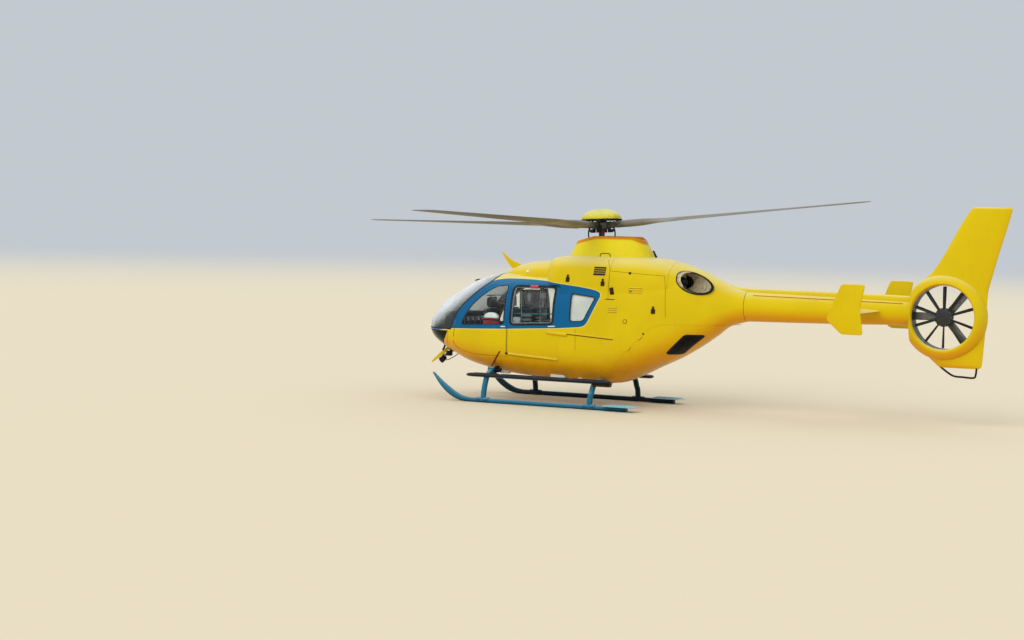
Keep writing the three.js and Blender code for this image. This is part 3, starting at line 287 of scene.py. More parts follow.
def clearPane(name, tint, rough=0.02, dirt=0.5, skyGlare=0.0):
    # Stretched acrylic: clear, faintly tinted, with a film of dust that catches the light; where set, a
    # painted sky reflection (milky white) on the upper part and painted shade (a smoked tint) on the lower
    # edge
    material, add, place = newMaterial(name)
    dust = add("MapRange", blotches(add, place, 0.2, 5, 0.6), 0.45, 0.8, rough, rough + 0.10 * dirt)
    tone = linear(tint)
    if skyGlare:
        rise = add("Math", add("SeparateXYZ", place, output="X"), 0.73,
                   add("SeparateXYZ", place, output="Z"), operation="MULTIPLY_ADD")  # along the pillar
        wisps = add("MapRange", blotches(add, place, 0.35, 4, 0.55, (1, 1, 1.6)), 0.3, 0.65, 0.75, 1)
        share = add("Math", add("MapRange", rise, 4.06, 4.32, skyGlare * 0.08, skyGlare), wisps,
                    operation="MULTIPLY")
        tone = layered(add, "#4A5054", (add("MapRange", rise, 4.0, 4.3), tint))  # painted shade: darker towards the lower edge
    glass = add("BsdfPrincipled", {"Base Color": tone, "Roughness": dust, "IOR": 1.26,
                                   "Transmission Weight": 1.0})
    if skyGlare:
        # painted reflection: a milky white layer that stands for the sky mirrored in the upper glass
        skyReflection = add("BsdfPrincipled", {"Base Color": linear("#F2F6FA"), "Roughness": 0.35,
                                      "Coat Weight": 0.5})
        glass = add("MixShader", share, glass, skyReflection)
    lampRay = add("LightPath", output="Is Shadow Ray")  # lamps reach the cabin
    add("OutputMaterial", add("MixShader", lampRay, glass, add("BsdfTransparent", linear(tint))))
    return material


def lampLens(name, colors, glow=0.0):
    # Ribbed lamp glass: deep clear colour behind a glossy face
    material, add, place = newMaterial(name)
    ribs = add("TexWave", {"Vector": place, "Scale": 40.0}, output="Fac", bands_direction="X")
    tone = layered(add, colors[0], (add("MapRange", blotches(add, place, 0.03), 0.3, 0.7), colors[1]))
    finishSurface(add, Base_Color=tone, Roughness=0.12, Coat_Weight=0.6, Emission_Color=linear(colors[0]),
                  Emission_Strength=glow,
                  Normal=add("Bump", {"Height": ribs, "Distance": 0.001, "Strength": 0.4}))
    return material


def bladeSkin(name):
    # Glass-fibre blade under matt paint: lengthwise streaks, and a nickel strip along the leading edge
    material, add, _ = newMaterial(name)
    span, chord = (add("Attribute", attribute_name=label, output="Fac") for label in ("span", "chord"))
    strip = add("CombineXYZ", add("Math", span, 0.25, operation="MULTIPLY"),
                add("Math", chord, 3.0, operation="MULTIPLY"))
    streak = add("MapRange", blotches(add, strip, 0.2, 5), 0.35, 0.7)
    oil = add("MapRange", span, 1.6, 0.5, 0, 0.5)  # grease thrown out of the hub darkens the root
    edge = add("MapRange", chord, 0.925, 0.935)
    tone = layered(add, "#7C7468", (streak, "#5E574D"),
                   (add("Math", oil, streak, operation="MULTIPLY"), "#3A342C"), (edge, "#8F8C86"))
    finishSurface(add, Base_Color=tone, Metallic=add("Math", edge, 0.9, operation="MULTIPLY"),
                  Normal=add("Bump", {"Height": streak, "Distance": 0.001, "Strength": 0.2}),
                  Roughness=add("MapRange", streak, 0, 1, 0.42, 0.55), Specular_IOR_Level=0.35)
    return material


# the orange under colour is painted bounce light and shade for the down-facing yellow
yellows, blues, warmBounceShade = ("#D2B800", "#CAAE00"), ("#005C8E", "#005482"), "#DC9600"
yellowPaint = sprayedPaint("yellowAircraftEnamel", yellows, under=warmBounceShade)
cabinPaint = sprayedPaint("bandedAircraftEnamel", yellows, blues, under=warmBounceShade)
# painted shade: a deeper orange band drawn under the pylon's rim
pylonPaint = sprayedPaint("rimShadedAircraftEnamel", ("#DAC81E", "#D2BE14"),
                          ("#C98408", "#BF7A06"), edge="#C98408")
# painted shade under the skids and on the starboard side, and a painted sky highlight on their tops
gearPaint = sprayedPaint("blueSkidEnamel", ("#1A6C88", "#145A74"), None, "#23282A", 0.3, 0.6, "#0A2C3A",
                         top="#8DA6B2", skyHighlightShare=0.6, starboardShade="#081A20")
# painted highlight: the skid's blue made pale as if lit by the sky, with rubbed patches on it
skyLitPaddlePaint = sprayedPaint("rubbedSkyLitPaddleEnamel", ("#8FBBC8", "#6FA0AE"), None, "#4A4E4C", 0.1, 0.5,
                           top="#C8DEE2")
# painted shade: the gear's blue darkened to near navy, as under the belly
shadedStepPaint = sprayedPaint("shadedNavyStepEnamel", ("#0D1D2C", "#0B1824"), None, "#1E1E1E", 0.4, 0.3,
                         top="#2A3A48", skyHighlightShare=0.3)
# painted sky highlight on the dome's up-facing surface, over a film of grime
domePaint = sprayedPaint("weatheredDomeEnamel", ("#D0C838", "#C0B82E"), None, "#6B6430", 4.5, top="#CFCB9A")
redPaint = sprayedPaint("redRodEnamel", ("#7A1E14", "#641A12"))
cabinLining = mouldedPlastic("absCabinLining", "#2E2B27", "#26231F", 0.004, 0.65)
whiteShell = mouldedPlastic("whiteMouldedCase", "#DADAD6", "#CACAC6", 0.002, 0.45)
greyShell = mouldedPlastic("greyMouldedCase", "#8E9498", "#7E8488", 0.003, 0.5)
blackPanel = mouldedPlastic("blackInstrumentPanel", "#141415", "#1B1B1C", 0.003, 0.75, 0.25)
blackRubber = mouldedPlastic("blackRubberSeal", "#15171A", "#1E2023", 0.002, 0.7, 0.3)
seamSealant = mouldedPlastic("greySeamSealant", "#7A6208", "#6A5406", 0.002, 0.7, 0.2)  # grimy joint filler
# painted shadow: an ochre strip that stands for the shade line under the boom's shaft cover
shadowLinePaint = mouldedPlastic("ochreShadowLinePlastic", "#B47C08", "#9C6A06", 0.002, 0.6, 0.2)
floorRubber = mouldedPlastic("studdedFloorRubber", "#3A3D40", "#46494C", 0.02, 0.8)
paleBlind = mouldedPlastic("paleWindowBlind", "#D8D4CA", "#CCC8BE", 0.004, 0.8, 0.2)
castAluminium = wornMetal("castAluminium", "#8C8E8E", "#7A7C7C", 0.5, 0.005)
hubAlloy = wornMetal("anodisedHubAlloy", "#5F625A", "#4E5048", 0.45, 0.004, None, 0.7, "#3A352A")
blackSteel = wornMetal("blackenedSteel", "#26262A", "#1C1C1F", 0.5, 0.003, None, 0.8)
brightSteel = wornMetal("brushedSteel", "#B9BABA", "#A2A4A6", 0.3, 0.003, (1, 1, 12))
mastSteel = wornMetal("oiledMastSteel", "#7A4A38", "#5E3A2E", 0.4, 0.003, (1, 1, 8), 0.8)
bronzeLatch = wornMetal("darkBronzeLatch", "#4A3418", "#3A2812", 0.45, 0.003, None, 0.8)
heatedSteel = wornMetal("heatTintedSteel", "#D8CBA8", "#B4A786", 0.45, 0.004, None, 0.6, "#4A4032")
fanPaint = mouldedPlastic("blackFanPaint", "#202224", "#2A2C2E", 0.004, 0.45)
tealRail = wornMetal("tealAnodisedTube", "#2C6E7C", "#27606C", 0.4, 0.003, (1, 1, 6), 0.5)
seatCloth = wovenCloth("charcoalSeatCloth", "#24272B", "#1C1F22")
redCloth = wovenCloth("redPackCloth", "#A8202A", "#8E1A24", 0.008)
oliveCloth = wovenCloth("oliveStowageCloth", "#4A3E22", "#3C321C", 0.008)
matCover = mouldedPlastic("coatedMattressCover", "#38506E", "#2E4460", 0.006, 0.5)
harnessWeb = wovenCloth("greyHarnessWebbing", "#4A4C4E", "#3C3E40", 0.004)
clearAcrylic = clearPane("clearAcrylic", "#EEF4F4")
skyGlareAcrylic = clearPane("skyGlareAcrylic", "#E6ECEE", 0.03, 0.5, 0.5)
smokedAcrylic = clearPane("smokedAcrylic", "#2C3030")
redLens = lampLens("redLampGlass", ("#B02A20", "#8E1C16"), 0.15)
paleLens = lampLens("clearLampGlass", ("#E8EAEC", "#D4D8DC"))
screenGlass = lampLens("darkScreenGlass", ("#101418", "#0C1014"))
bladePaint = bladeSkin("mattBladePaint")
print("materials made")

# Shapes: tables of stations, smooth between them


def smoothTable(keys, values):
    # a curve through the rows with no overshoot (monotone cubic)
    keys, values = np.array(keys, float), np.array(values, float)
    slopes = np.diff(values) / np.diff(keys)
    tangents = np.empty(len(keys))
    tangents[0], tangents[-1] = slopes[0], slopes[-1]
    for i in range(1, len(keys) - 1):
        a, b = slopes[i - 1], slopes[i]
        tangents[i] = 0 if a * b <= 0 else 2 * a * b / (a + b)

    def curve(key):
        key = np.asarray(key, float)
        i = np.clip(np.searchsorted(keys, key, side="left") - 1, 0, len(keys) - 2)
        span = keys[i + 1] - keys[i]
        t = np.clip((key - keys[i]) / span, 0, 1)
        return (values[i] * (2 * t ** 3 - 3 * t ** 2 + 1) + tangents[i] * span * (t ** 3 - 2 * t ** 2 + t)
                + values[i + 1] * (3 * t ** 2 - 2 * t ** 3) + tangents[i + 1] * span * (t ** 3 - t ** 2))

    return curve


def filled(rows, steps):
    # more rows between the given ones, on smooth curves through each column
    rows = sorted(rows)
    keys = [row[0] for row in rows]
    curves = [smoothTable(keys, [row[c] for row in rows]) for c in range(1, len(rows[0]))]
    at = [a + (b - a) * k / steps for a, b in zip(keys, keys[1:]) for k in range(steps)] + [keys[-1]]
    return [[key] + [float(curve(key)) for curve in curves] for key in at]


def bodyShape(front, rows):
    # Columns as functions of the station; the key is the root of the distance, so the front is round
    rows = sorted(rows, key=lambda row: -row[0])
    keys = [math.sqrt(front - row[0]) for row in rows]
    curves = [smoothTable(keys, [row[c] for row in rows]) for c in range(1, 7)]

    def shape(x):
        key = np.sqrt(np.maximum(0, front - np.asarray(x, float)))
        return [curve(key) for curve in curves]

    return shape


noseX, podEnd = 3200, -2700
podShape = bodyShape(noseX, [
    # x, bottom, top, half width, height of the widest line, lower power, upper power
    (3200, 1243, 1247, 4, 1245, 2.0, 2.0), (3080, 1000, 1512, 335, 1210, 2.05, 2.05),
    (2820, 858, 1738, 560, 1160, 2.2, 2.2), (2550, 726, 1905, 664, 1125, 2.35, 2.4),
    (2300, 622, 2038, 722, 1090, 2.45, 2.6), (2050, 558, 2134, 753, 1065, 2.5, 2.8),
    (1800, 512, 2186, 770, 1050, 2.6, 3.0), (1400, 457, 2212, 780, 1040, 2.7, 3.1),
    (900, 420, 2222, 783, 1040, 2.75, 3.1), (500, 402, 2262, 783, 1045, 2.75, 3.1),
    (200, 392, 2365, 782, 1050, 2.75, 3.05), (-100, 386, 2480, 778, 1060, 2.75, 3.0),
    (-450, 400, 2550, 766, 1085, 2.7, 2.95), (-800, 530, 2560, 738, 1150, 2.6, 2.85),
    (-1150, 700, 2540, 672, 1265, 2.5, 2.75), (-1500, 862, 2478, 575, 1400, 2.4, 2.6),
    (-1850, 1062, 2370, 462, 1530, 2.3, 2.45), (-2150, 1266, 2240, 368, 1645, 2.2, 2.3),
    (-2400, 1448, 2130, 298, 1730, 2.1, 2.15), (podEnd, 1540, 2050, 250, 1795, 2.05, 2.05),
])
roofTop = 2222


def roofShape(x):
    # the cabin roof runs on level under the cowlings
    bottom, top, half, wide, lowPower, upPower = podShape(x)
    behind = np.asarray(x) <= 900
    return [bottom, np.where(behind, np.minimum(top, roofTop), top), half, wide, lowPower,
            np.where(behind, 3.1, upPower)]


bulgeFront, bulgeEnd = 1020, -1760
bulgeShape = bodyShape(bulgeFront, [
    (1020, 1900, 2300, 20, 2100, 2.5, 2.2), (960, 1700, 2400, 120, 2000, 3.0, 2.5),
    (880, 1600, 2455, 255, 1900, 3.0, 3.0), (790, 1500, 2490, 440, 1840, 3.0, 3.3),
    (725, 1500, 2508, 562, 1800, 3.0, 3.5), (660, 1500, 2520, 622, 1800, 3.0, 3.6),
    (400, 1500, 2548, 690, 1800, 3.0, 3.6), (0, 1500, 2562, 710, 1800, 3.0, 3.6),
    (-500, 1500, 2562, 708, 1800, 3.0, 3.6), (-850, 1500, 2556, 672, 1820, 3.0, 3.5),
    (-1200, 1500, 2512, 602, 1840, 3.0, 3.4), (-1500, 1500, 2418, 512, 1850, 3.0, 3.2),
    (bulgeEnd, 1500, 2290, 395, 1850, 3.0, 3.0),
])
fairingFront = 1760
fairingShape = bodyShape(fairingFront, [
    (1760, 2120, 2200, 30, 2150, 2.2, 2.2), (1650, 2060, 2275, 200, 2130, 2.2, 2.2),
    (1450, 2050, 2352, 325, 2120, 2.3, 2.3), (1200, 2050, 2412, 415, 2110, 2.4, 2.4),
    (800, 2050, 2452, 455, 2100, 2.4, 2.5),
])


def around(count, shift=0.0):
    # evenly spaced angles round one turn, with their cosines and sines
    angle = (np.arange(count) + shift) / count * 2 * math.pi
    return angle, np.cos(angle), np.sin(angle)


def squared(share, power):
    # cosines or sines drawn out towards a rounded square
    return np.sign(share) * np.abs(share) ** power


def axes(x, y, z, origin=(0, 0, 0)):
    # a place: its three local axes and its origin
    return np.array([x, y, z], float).T, np.array(origin, float)


def sectionRing(x, shape, inset, count):
    # One cross-section: two half superellipses on a shared widest line, points evenly spaced round it
    bottom, top, half, wide, lowPower, upPower = (float(v) for v in shape(x))
    half, rise, fall = max(4, half - inset), max(4, top - inset - wide), max(4, wide - bottom - inset)
    angle = np.linspace(math.pi / 2, math.pi * 2.5, 1801)
    c, s = np.cos(angle), np.sin(angle)
    power = np.where(s > 0, 2 / upPower, 2 / lowPower)
    y, z = half * squared(c, power), wide + np.where(s > 0, rise, fall) * squared(s, power)
    run = np.concatenate([[0], np.cumsum(np.hypot(np.diff(y), np.diff(z)))])
    at = (np.arange(count) + 0.5) / count * run[-1]
    return np.column_stack([np.full(count, x), np.interp(at, run, y), np.interp(at, run, z)])


def stations(front, back, step, nose):
    # close together behind a round front, then even
    close = front - nose * np.linspace(0, 1, 26) ** 2
    rest = np.arange(front - nose - step, back + step / 2, -step)
    return [x for x in np.concatenate([close, rest]) if x > back + 1] + [back]


def outerHalf(x, z):
    # how far out the skin stands at a station and a height, cowlings included
    reach = 0.0
    for shape, front, back in ((podShape, noseX, podEnd), (bulgeShape, bulgeFront, bulgeEnd)):
        if back <= x <= front:
            bottom, top, half, wide, lowPower, upPower = (float(v) for v in shape(x))
            height, power = (top - wide, upPower) if z > wide else (wide - bottom, lowPower)
            rise = min(1.0, abs(z - wide) / max(height, 1))
            reach = max(reach, half * (1 - rise ** power) ** (1 / power))
    return reach


def skinPlace(x, z, lift=0.0):
    # A place on the port skin: its local axes point forward, up and out
    near = 8.0  # the slopes are taken this far to either side
    fore = np.array([2 * near, outerHalf(x + near, z) - outerHalf(x - near, z), 0])
    rise = np.array([0, outerHalf(x, z + near) - outerHalf(x, z - near), 2 * near])
    out = np.cross(rise, fore)
    out /= np.linalg.norm(out)
    fore /= np.linalg.norm(fore)
    return axes(fore, np.cross(out, fore), out, np.array([x, outerHalf(x, z), z]) + out * lift)


def placed(place, points):
    turn, origin = place
    return np.asarray(points, float).reshape(-1, 3) @ turn.T + origin


def uprightPlace(x, y, z, tilt=0.0):
    # an upright place, tipped forward about the Y axis by tilt degrees
    c, s = math.cos(math.radians(tilt)), math.sin(math.radians(tilt))
    return axes((c, 0, -s), (0, 1, 0), (s, 0, c), (x, y, z))


def placeMatrix(place):
    turn, origin = place
    matrix = Matrix(turn.tolist()).to_4x4()
    matrix.translation = ((origin + [mastX, 0, 0]) * mm).tolist()
    return matrix


# Mesh building


def toFrame(points):
    points = np.array(points, float).reshape(-1, 3)
    points[:, 0] += mastX
    return points * mm


def newObject(points, faces, material=None, bare=False):
    # a mesh from points in the tables' millimetres, or in a tool's own if it is bare
    mesh = bpy.data.meshes.new("shape")
    inPlace = np.array(points, float).reshape(-1, 3) * mm if bare else toFrame(points)
    mesh.from_pydata(inPlace.tolist(), [], faces)
    mesh.update()
    thing = bpy.data.objects.new("shape", mesh)
    scene.collection.objects.link(thing)
    if material:
        mesh.materials.append(material)
    return thing


def volumeOf(points, faces):
    total = 0.0
    for face in faces:
        a = points[face[0]]
        for i in range(1, len(face) - 1):
            total += float(np.dot(a, np.cross(points[face[i]], points[face[i + 1]])))
    return total


def loft(rings, material=None, head=None, tail=None, bare=False):
    # A closed skin through rings of equal count; a fan to its middle, or to a given tip, ends it
    count = len(rings[0])
    head = np.mean(rings[0], 0) if head is None else head
    tail = np.mean(rings[-1], 0) if tail is None else tail
    points = np.concatenate([np.array(r, float) for r in rings] + [[head], [tail]])
    faces = []
    for r in range(len(rings) - 1):
        for i in range(count):
            j = (i + 1) % count
            faces.append((r * count + i, r * count + j, (r + 1) * count + j, (r + 1) * count + i))
    last, first, end = (len(rings) - 1) * count, len(points) - 2, len(points) - 1
    for i in range(count):
        j = (i + 1) % count
        faces += [(first, j, i), (end, last + i, last + j)]
    if volumeOf(points, faces) < 0:
        faces = [face[::-1] for face in faces]
    return newObject(points, faces, material, bare)


def bodySolid(shape, front, back, inset, material, count=128, step=45, nose=700):
    return loft([sectionRing(x, shape, inset, count) for x in stations(front, back, step, nose)], material)


def spline(points, steps):
    # a smooth curve through points (Catmull-Rom)
    points = [np.array(p, float) for p in points]
    points = [2 * points[0] - points[1]] + points + [2 * points[-1] - points[-2]]
    made = []
    for a, b, c, d in zip(points, points[1:], points[2:], points[3:]):
        for k in range(steps):
            t = k / steps
            made.append(0.5 * (2 * b + (c - a) * t + (2 * a - 5 * b + 4 * c - d) * t * t
                               + (3 * b - a - 3 * c + d) * t ** 3))
    return made + [points[-2]]


def tube(path, radius, material, sides=20, bare=False):
    # a round bar along a path
    path = [np.array(p, float) for p in path]
    along = [path[min(i + 1, len(path) - 1)] - path[max(i - 1, 0)] for i in range(len(path))]
    along = [a / np.linalg.norm(a) for a in along]
    side = np.cross(along[0], (0, 0, 1) if abs(along[0][2]) < 0.9 else (1, 0, 0))
    rings = []
    for point, way in zip(path, along):
        side = side - way * np.dot(side, way)
        side /= np.linalg.norm(side)
        _, c, s = around(sides)
        rings.append(point + radius * (np.outer(c, side) + np.outer(s, np.cross(way, side))))
    return loft(rings, material, bare=bare)


def lathe(profile, material=None, place=None, sides=64, bare=False):
    # A turned shape: (radius, height) pairs about the local Z axis
    place = place or (np.eye(3), np.zeros(3))
    _, c, s = around(sides)
    rings = [placed(place, np.column_stack([r * c, r * s, np.full(sides, z)]))
             for r, z in profile if r > 0]
    head = placed(place, [0, 0, profile[0][1]])[0] if profile[0][0] == 0 else None
    tail = placed(place, [0, 0, profile[-1][1]])[0] if profile[-1][0] == 0 else None
    return loft(rings, material, head, tail, bare)


def areaOf(outline):
    return sum(a[0] * b[1] - b[0] * a[1] for a, b in zip(outline, outline[1:] + outline[:1])) / 2


def rounded(outline, radius, steps=8):
    # the corners of an outline turned into short curves
    made = []
    for i, corner in enumerate(outline):
        at = Vector(corner)
        before, after = Vector(outline[i - 1]) - at, Vector(outline[(i + 1) % len(outline)]) - at
        reach = min(radius, before.length / 2.1, after.length / 2.1)
        start, end = at + before.normalized() * reach, at + after.normalized() * reach
        for k in range(steps + 1):
            t = k / steps
            made.append(tuple(start * (1 - t) ** 2 + at * 2 * t * (1 - t) + end * t * t))
    return made


def grown(outline, grow):
    # the outline moved outwards, or inwards if grow is negative
    side = 1 if areaOf(outline) > 0 else -1
    made = []
    for i, point in enumerate(outline):
        a = (Vector(point) - Vector(outline[i - 1])).normalized()
        b = (Vector(outline[(i + 1) % len(outline)]) - Vector(point)).normalized()
        na, nb = Vector((a.y, -a.x)), Vector((b.y, -b.x))
        mid = (na + nb).normalized()
        made.append(tuple(Vector(point) + mid * (grow * side / max(0.4, mid.dot(na)))))
    return made


def prism(outline, start, end, axis, material, place=None, bare=False):
    # An outline of (x, z) pairs pushed across the aircraft, or of (x, y) pairs pushed upwards
    outline = [tuple(p) for p in outline]
    count = len(outline)
    points = [(a, h, b) if axis == "y" else (a, b, h) for h in (start, end) for a, b in outline]
    if place:
        points = placed(place, points)
    faces = [tuple(range(count)), tuple(range(2 * count - 1, count - 1, -1))]
    faces += [(i, i + count, (i + 1) % count + count, (i + 1) % count) for i in range(count)]
    thing = newObject(points, faces, material, bare)
    sortFaces(thing)
    return thing


def sortFaces(thing):
    # turns all faces of a closed mesh outwards
    work = bmesh.new()
    work.from_mesh(thing.data)
    bmesh.ops.recalc_face_normals(work, faces=work.faces)
    if work.calc_volume(signed=True) < 0:
        bmesh.ops.reverse_faces(work, faces=work.faces)
    work.to_mesh(thing.data)
    work.free()


def block(x0, x1, y0, y1, z0, z1, material=None, place=None, soft=0.0, bare=False):
    thing = prism([(x0, z0), (x1, z0), (x1, z1), (x0, z1)], y0, y1, "y", material, place, bare)
    return softened(thing, soft) if soft else thing


def copyOf(thing):
    made = thing.copy()
    made.data = thing.data.copy()
    scene.collection.objects.link(made)
    return made


def drop(*things):
    for thing in things:
        data = thing.data
        bpy.data.objects.remove(thing)
        bpy.data.meshes.remove(data)


def settle(thing):
    # applies the modifiers, leaving a plain mesh
    graph = bpy.context.evaluated_depsgraph_get()
    ready = thing.evaluated_get(graph)
    made = bpy.data.meshes.new_from_object(ready, preserve_all_data_layers=True, depsgraph=graph)
    thing.modifiers.clear()
    old, thing.data = thing.data, made
    bpy.data.meshes.remove(old)
    return thing


def softened(thing, width):
    # a small rounding along the edges, which catches the light as a real edge does
    step = thing.modifiers.new("soften", "BEVEL")
    step.width, step.segments, step.angle_limit = width * mm, 3, math.radians(30)
    step.limit_method, step.use_clamp_overlap = "ANGLE", True
    return settle(thing)


def carve(thing, *tools, how="DIFFERENCE"):
    for tool in tools:
        step = thing.modifiers.new("carve", "BOOLEAN")
        step.object, step.operation, step.solver, step.material_mode = tool, how, "MANIFOLD", "TRANSFER"
    return settle(thing)


def within(thing, *tools):
    # what of the thing lies inside every tool
    return carve(thing, *tools, how="INTERSECT")


def united(thing, *tools):
    return carve(thing, *tools, how="UNION")


def joined(*things):
    with bpy.context.temp_override(active_object=things[0], selected_editable_objects=list(things)):
        bpy.ops.object.join()
    return things[0]


def mirrored(thing):
    made = copyOf(thing)
    made.data.transform(Matrix.Scale(-1, 4, (0, 1, 0)))
    made.data.flip_normals()
    return made


def smooth(thing, degrees=32):
    thing.data.shade_smooth()
    thing.data.set_sharp_from_angle(angle=math.radians(degrees))
    return thing


def fit(name, thing, body, slot, *nodes):
    # The last step for every piece: its name and body, and the CAD nodes that it stands for
    smooth(thing)
    thing.name = thing.data.name = name
    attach(thing, body)
    if nodes:
        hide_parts(*nodes)
    return thing


def fitPair(name, thing, body, slot, *nodes):
    # a port piece and its mirror image, each on its own side's body
    sides = {"left": thing, "right": mirrored(thing)}
    for side, piece in sides.items():
        sideBody = body if body == "airframe" else f"{side}_{body}"
        fit(name + side.title(), piece, sideBody, slot, *(f"{side}_{node}" for node in nodes))
    return sides.values()


def fitBoth(name, slot, *things):
    # port shapes and their mirror images, joined as one piece of the airframe
    return fit(name, joined(*things, *(mirrored(thing) for thing in things)), "airframe", slot)


# Repeats, by Geometry Nodes


def newTree(name, *given):
    tree = bpy.data.node_groups.new(name, "GeometryNodeTree")
    for label in ("Geometry",) + given:
        kind = {"Shape": "Object", "Count": "Int", "First": "Float"}.get(label, label)
        tree.interface.new_socket(label, in_out="INPUT", socket_type="NodeSocket" + kind)
    tree.interface.new_socket("Geometry", in_out="OUTPUT", socket_type="NodeSocketGeometry")
    add = partial(addNode, tree)
    return tree, add, add("NodeGroupInput").node.outputs


def finishTree(tree, add, given, points, turn):
    # the shape set on the points, made real and painted
    shape = add("GeometryNodeObjectInfo", {"Object": given["Shape"]}, output="Geometry")
    copies = add("GeometryNodeInstanceOnPoints", {"Points": points, "Instance": shape, "Rotation": turn})
    real = add("GeometryNodeRealizeInstances", copies)
    painted = add("GeometryNodeSetMaterial", {"Geometry": real, "Material": given["Material"]})
    add("NodeGroupOutput", painted)
    return tree


def wheelTree():
    # copies of one shape, evenly turned round the Z axis
    tree, add, given = newTree("evenlyRound", "Shape", "Count", "First", "Material")
    step = add("Math", 2 * math.pi, given["Count"], operation="DIVIDE")
    turn = add("Math", add("GeometryNodeInputIndex"), step, given["First"], operation="MULTIPLY_ADD")
    points = add("GeometryNodePoints", {"Count": given["Count"]})
    return finishTree(tree, add, given, points, add("CombineXYZ", {"Z": turn}))


def scatterTree():
    # copies of one shape on given points, turned to the out and fore directions stored there
    tree, add, given = newTree("onPoints", "Shape", "Material")
    out, fore = (add("GeometryNodeInputNamedAttribute", {"Name": name}, data_type="FLOAT_VECTOR",
                     output="Attribute") for name in ("out", "fore"))
    turn = add("FunctionNodeAxesToRotation", out, fore, primary_axis="Z", secondary_axis="X")
    return finishTree(tree, add, given, given[0], turn)


evenlyRound, onPoints = wheelTree(), scatterTree()


def grownBy(thing, tree, values):
    # runs a node tree on a piece and keeps the plain mesh
    step = thing.modifiers.new(tree.name, "NODES")
    step.node_group = tree
    for item in tree.interface.items_tree:
        if item.in_out == "INPUT" and item.name in values:
            step[item.identifier] = values[item.name]
    return settle(thing)


def wheel(shape, count, first, material, place):
    # shape is bare, built about its own axis; it is used up
    holder = newObject([], [], None, True)
    made = grownBy(holder, evenlyRound, {"Shape": shape, "Count": count, "First": math.radians(first),
                                         "Material": material})
    made.data.transform(placeMatrix(place))
    drop(shape)
    return made


def scatter(shape, places, material):
    # shape is bare; places are (turn, origin) pairs in table millimetres; the shape is used up
    holder = newObject([origin for _, origin in places], [])
    for label, column in (("fore", 0), ("out", 2)):
        layer = holder.data.attributes.new(label, "FLOAT_VECTOR", "POINT")
        layer.data.foreach_set("vector",
                               np.concatenate([turn[:, column] for turn, _ in places]).astype(np.float32))
    made = grownBy(holder, onPoints, {"Shape": shape, "Material": material})
    drop(shape)
    return made


def rivetHead(radius=5.0, height=2.0):
    return lathe([(radius, -1), (radius, height * 0.4), (radius * 0.7, height), (0, height * 1.1)],
                 sides=8, bare=True)


def ribbon(places, width, proud, sunk, material):
    # A low half-round strip along places whose local axes are fore, up and out
    angle = np.linspace(0, math.pi, 7)
    rings = []
    for i, (turn, origin) in enumerate(places):
        way = places[min(i + 1, len(places) - 1)][1] - places[max(i - 1, 0)][1]
        out = turn[:, 2]
        across = np.cross(out, way)
        across /= np.linalg.norm(across)
        low = [origin + across * w - out * sunk for w in (-width / 2, width / 2)]
        arch = [origin + across * (width / 2 * math.cos(a)) + out * (proud * math.sin(a) ** 0.6)
                for a in angle]
        rings.append(np.array(arch + low))
    return loft(rings, material)


def alongSkin(path, step):
    # places on the port skin along (x, z) pairs, about step millimetres apart
    made = []
    for (ax, az), (bx, bz) in zip(path, path[1:]):
        count = max(1, round(math.hypot(bx - ax, bz - az) / step))
        made += [skinPlace(ax + (bx - ax) * k / count, az + (bz - az) * k / count) for k in range(count)]
    return made + [skinPlace(*path[-1])]


def skinStrip(path, width, proud, material, sunk=3.0):
    return ribbon(alongSkin(path, 30), width, proud, sunk, material)


# Side-view outlines of the doors and windows, (x, z)

pillarLine = [(2520, 1205), (2470, 1360), (2390, 1510), (2285, 1650), (2165, 1770), (2040, 1880),
              (1915, 1975), (1800, 2065)]
outlines = {
    "windshield": pillarLine + [(1740, 2140), (1700, 2400), (3400, 2400), (3400, 1205)],
    "chin": [(3400, 1165), (2600, 1165), (2640, 1080), (2790, 880), (3010, 780), (3400, 780)],
    "frontDoor": [(2412, 1370), (2330, 1505), (2230, 1632), (2115, 1749), (1985, 1857),
                  (1850, 1945), (1690, 2010), (1520, 2040), (1388, 2046), (1388, 790), (2050, 800),
                  (2290, 850), (2400, 910), (2452, 990)],
    "frontWindow": rounded([(2290, 1295), (2215, 1480), (2095, 1645), (1960, 1775), (1810, 1890),
                            (1640, 1985), (1432, 2005), (1432, 1338)], 55),
    "slidingDoor": rounded([(1352, 2034), (420, 2034), (420, 775), (1352, 790)], 70),
    "slidingWindow": rounded([(1315, 1990), (520, 2000), (520, 1385), (1315, 1345)], 70),
    "rearWindow": rounded([(205, 1915), (-250, 1865), (-45, 1452), (205, 1440)], 55),
    "clamshell": [(-400, 250), (-480, 500), (-700, 850), (-1250, 1400), (-1400, 1445),
                  (-2200, 1450), (-2200, 250)],
    "clamWindow": rounded([(-1770, 1290), (-2060, 1290), (-1640, 962), (-1435, 956)], 50),
}
# The blue band: round the windows, down the pillar and across the nose
bandOutline = [(1819, 2050), (1730, 2085), (1620, 2105), (1499, 2116), (1250, 2119), (1000, 2114),
               (730, 2098), (473, 2069), (270, 2050), (78, 2031), (-120, 2004), (-244, 1980), (-312, 1950),
               (-340, 1915), (-330, 1870), (-135, 1462), (-104, 1412), (-62, 1376), (0, 1354), (150, 1340),
               (425, 1315), (900, 1290), (1351, 1263), (1900, 1240), (2480, 1217), (2783, 1176),
               (3300, 1165), (3300, 1260), (2600, 1260), (2470, 1360), (2390, 1510), (2285, 1650),
               (2165, 1770), (2040, 1880), (1915, 1975)]
# the band of painted shade under the pylon's rim, (x, z)
rimShadeOutline = [(-1200, 2640), (-900, 2745), (-660, 2842), (-12, 2840), (800, 2631),
              (900, 3200), (-1200, 3200)]


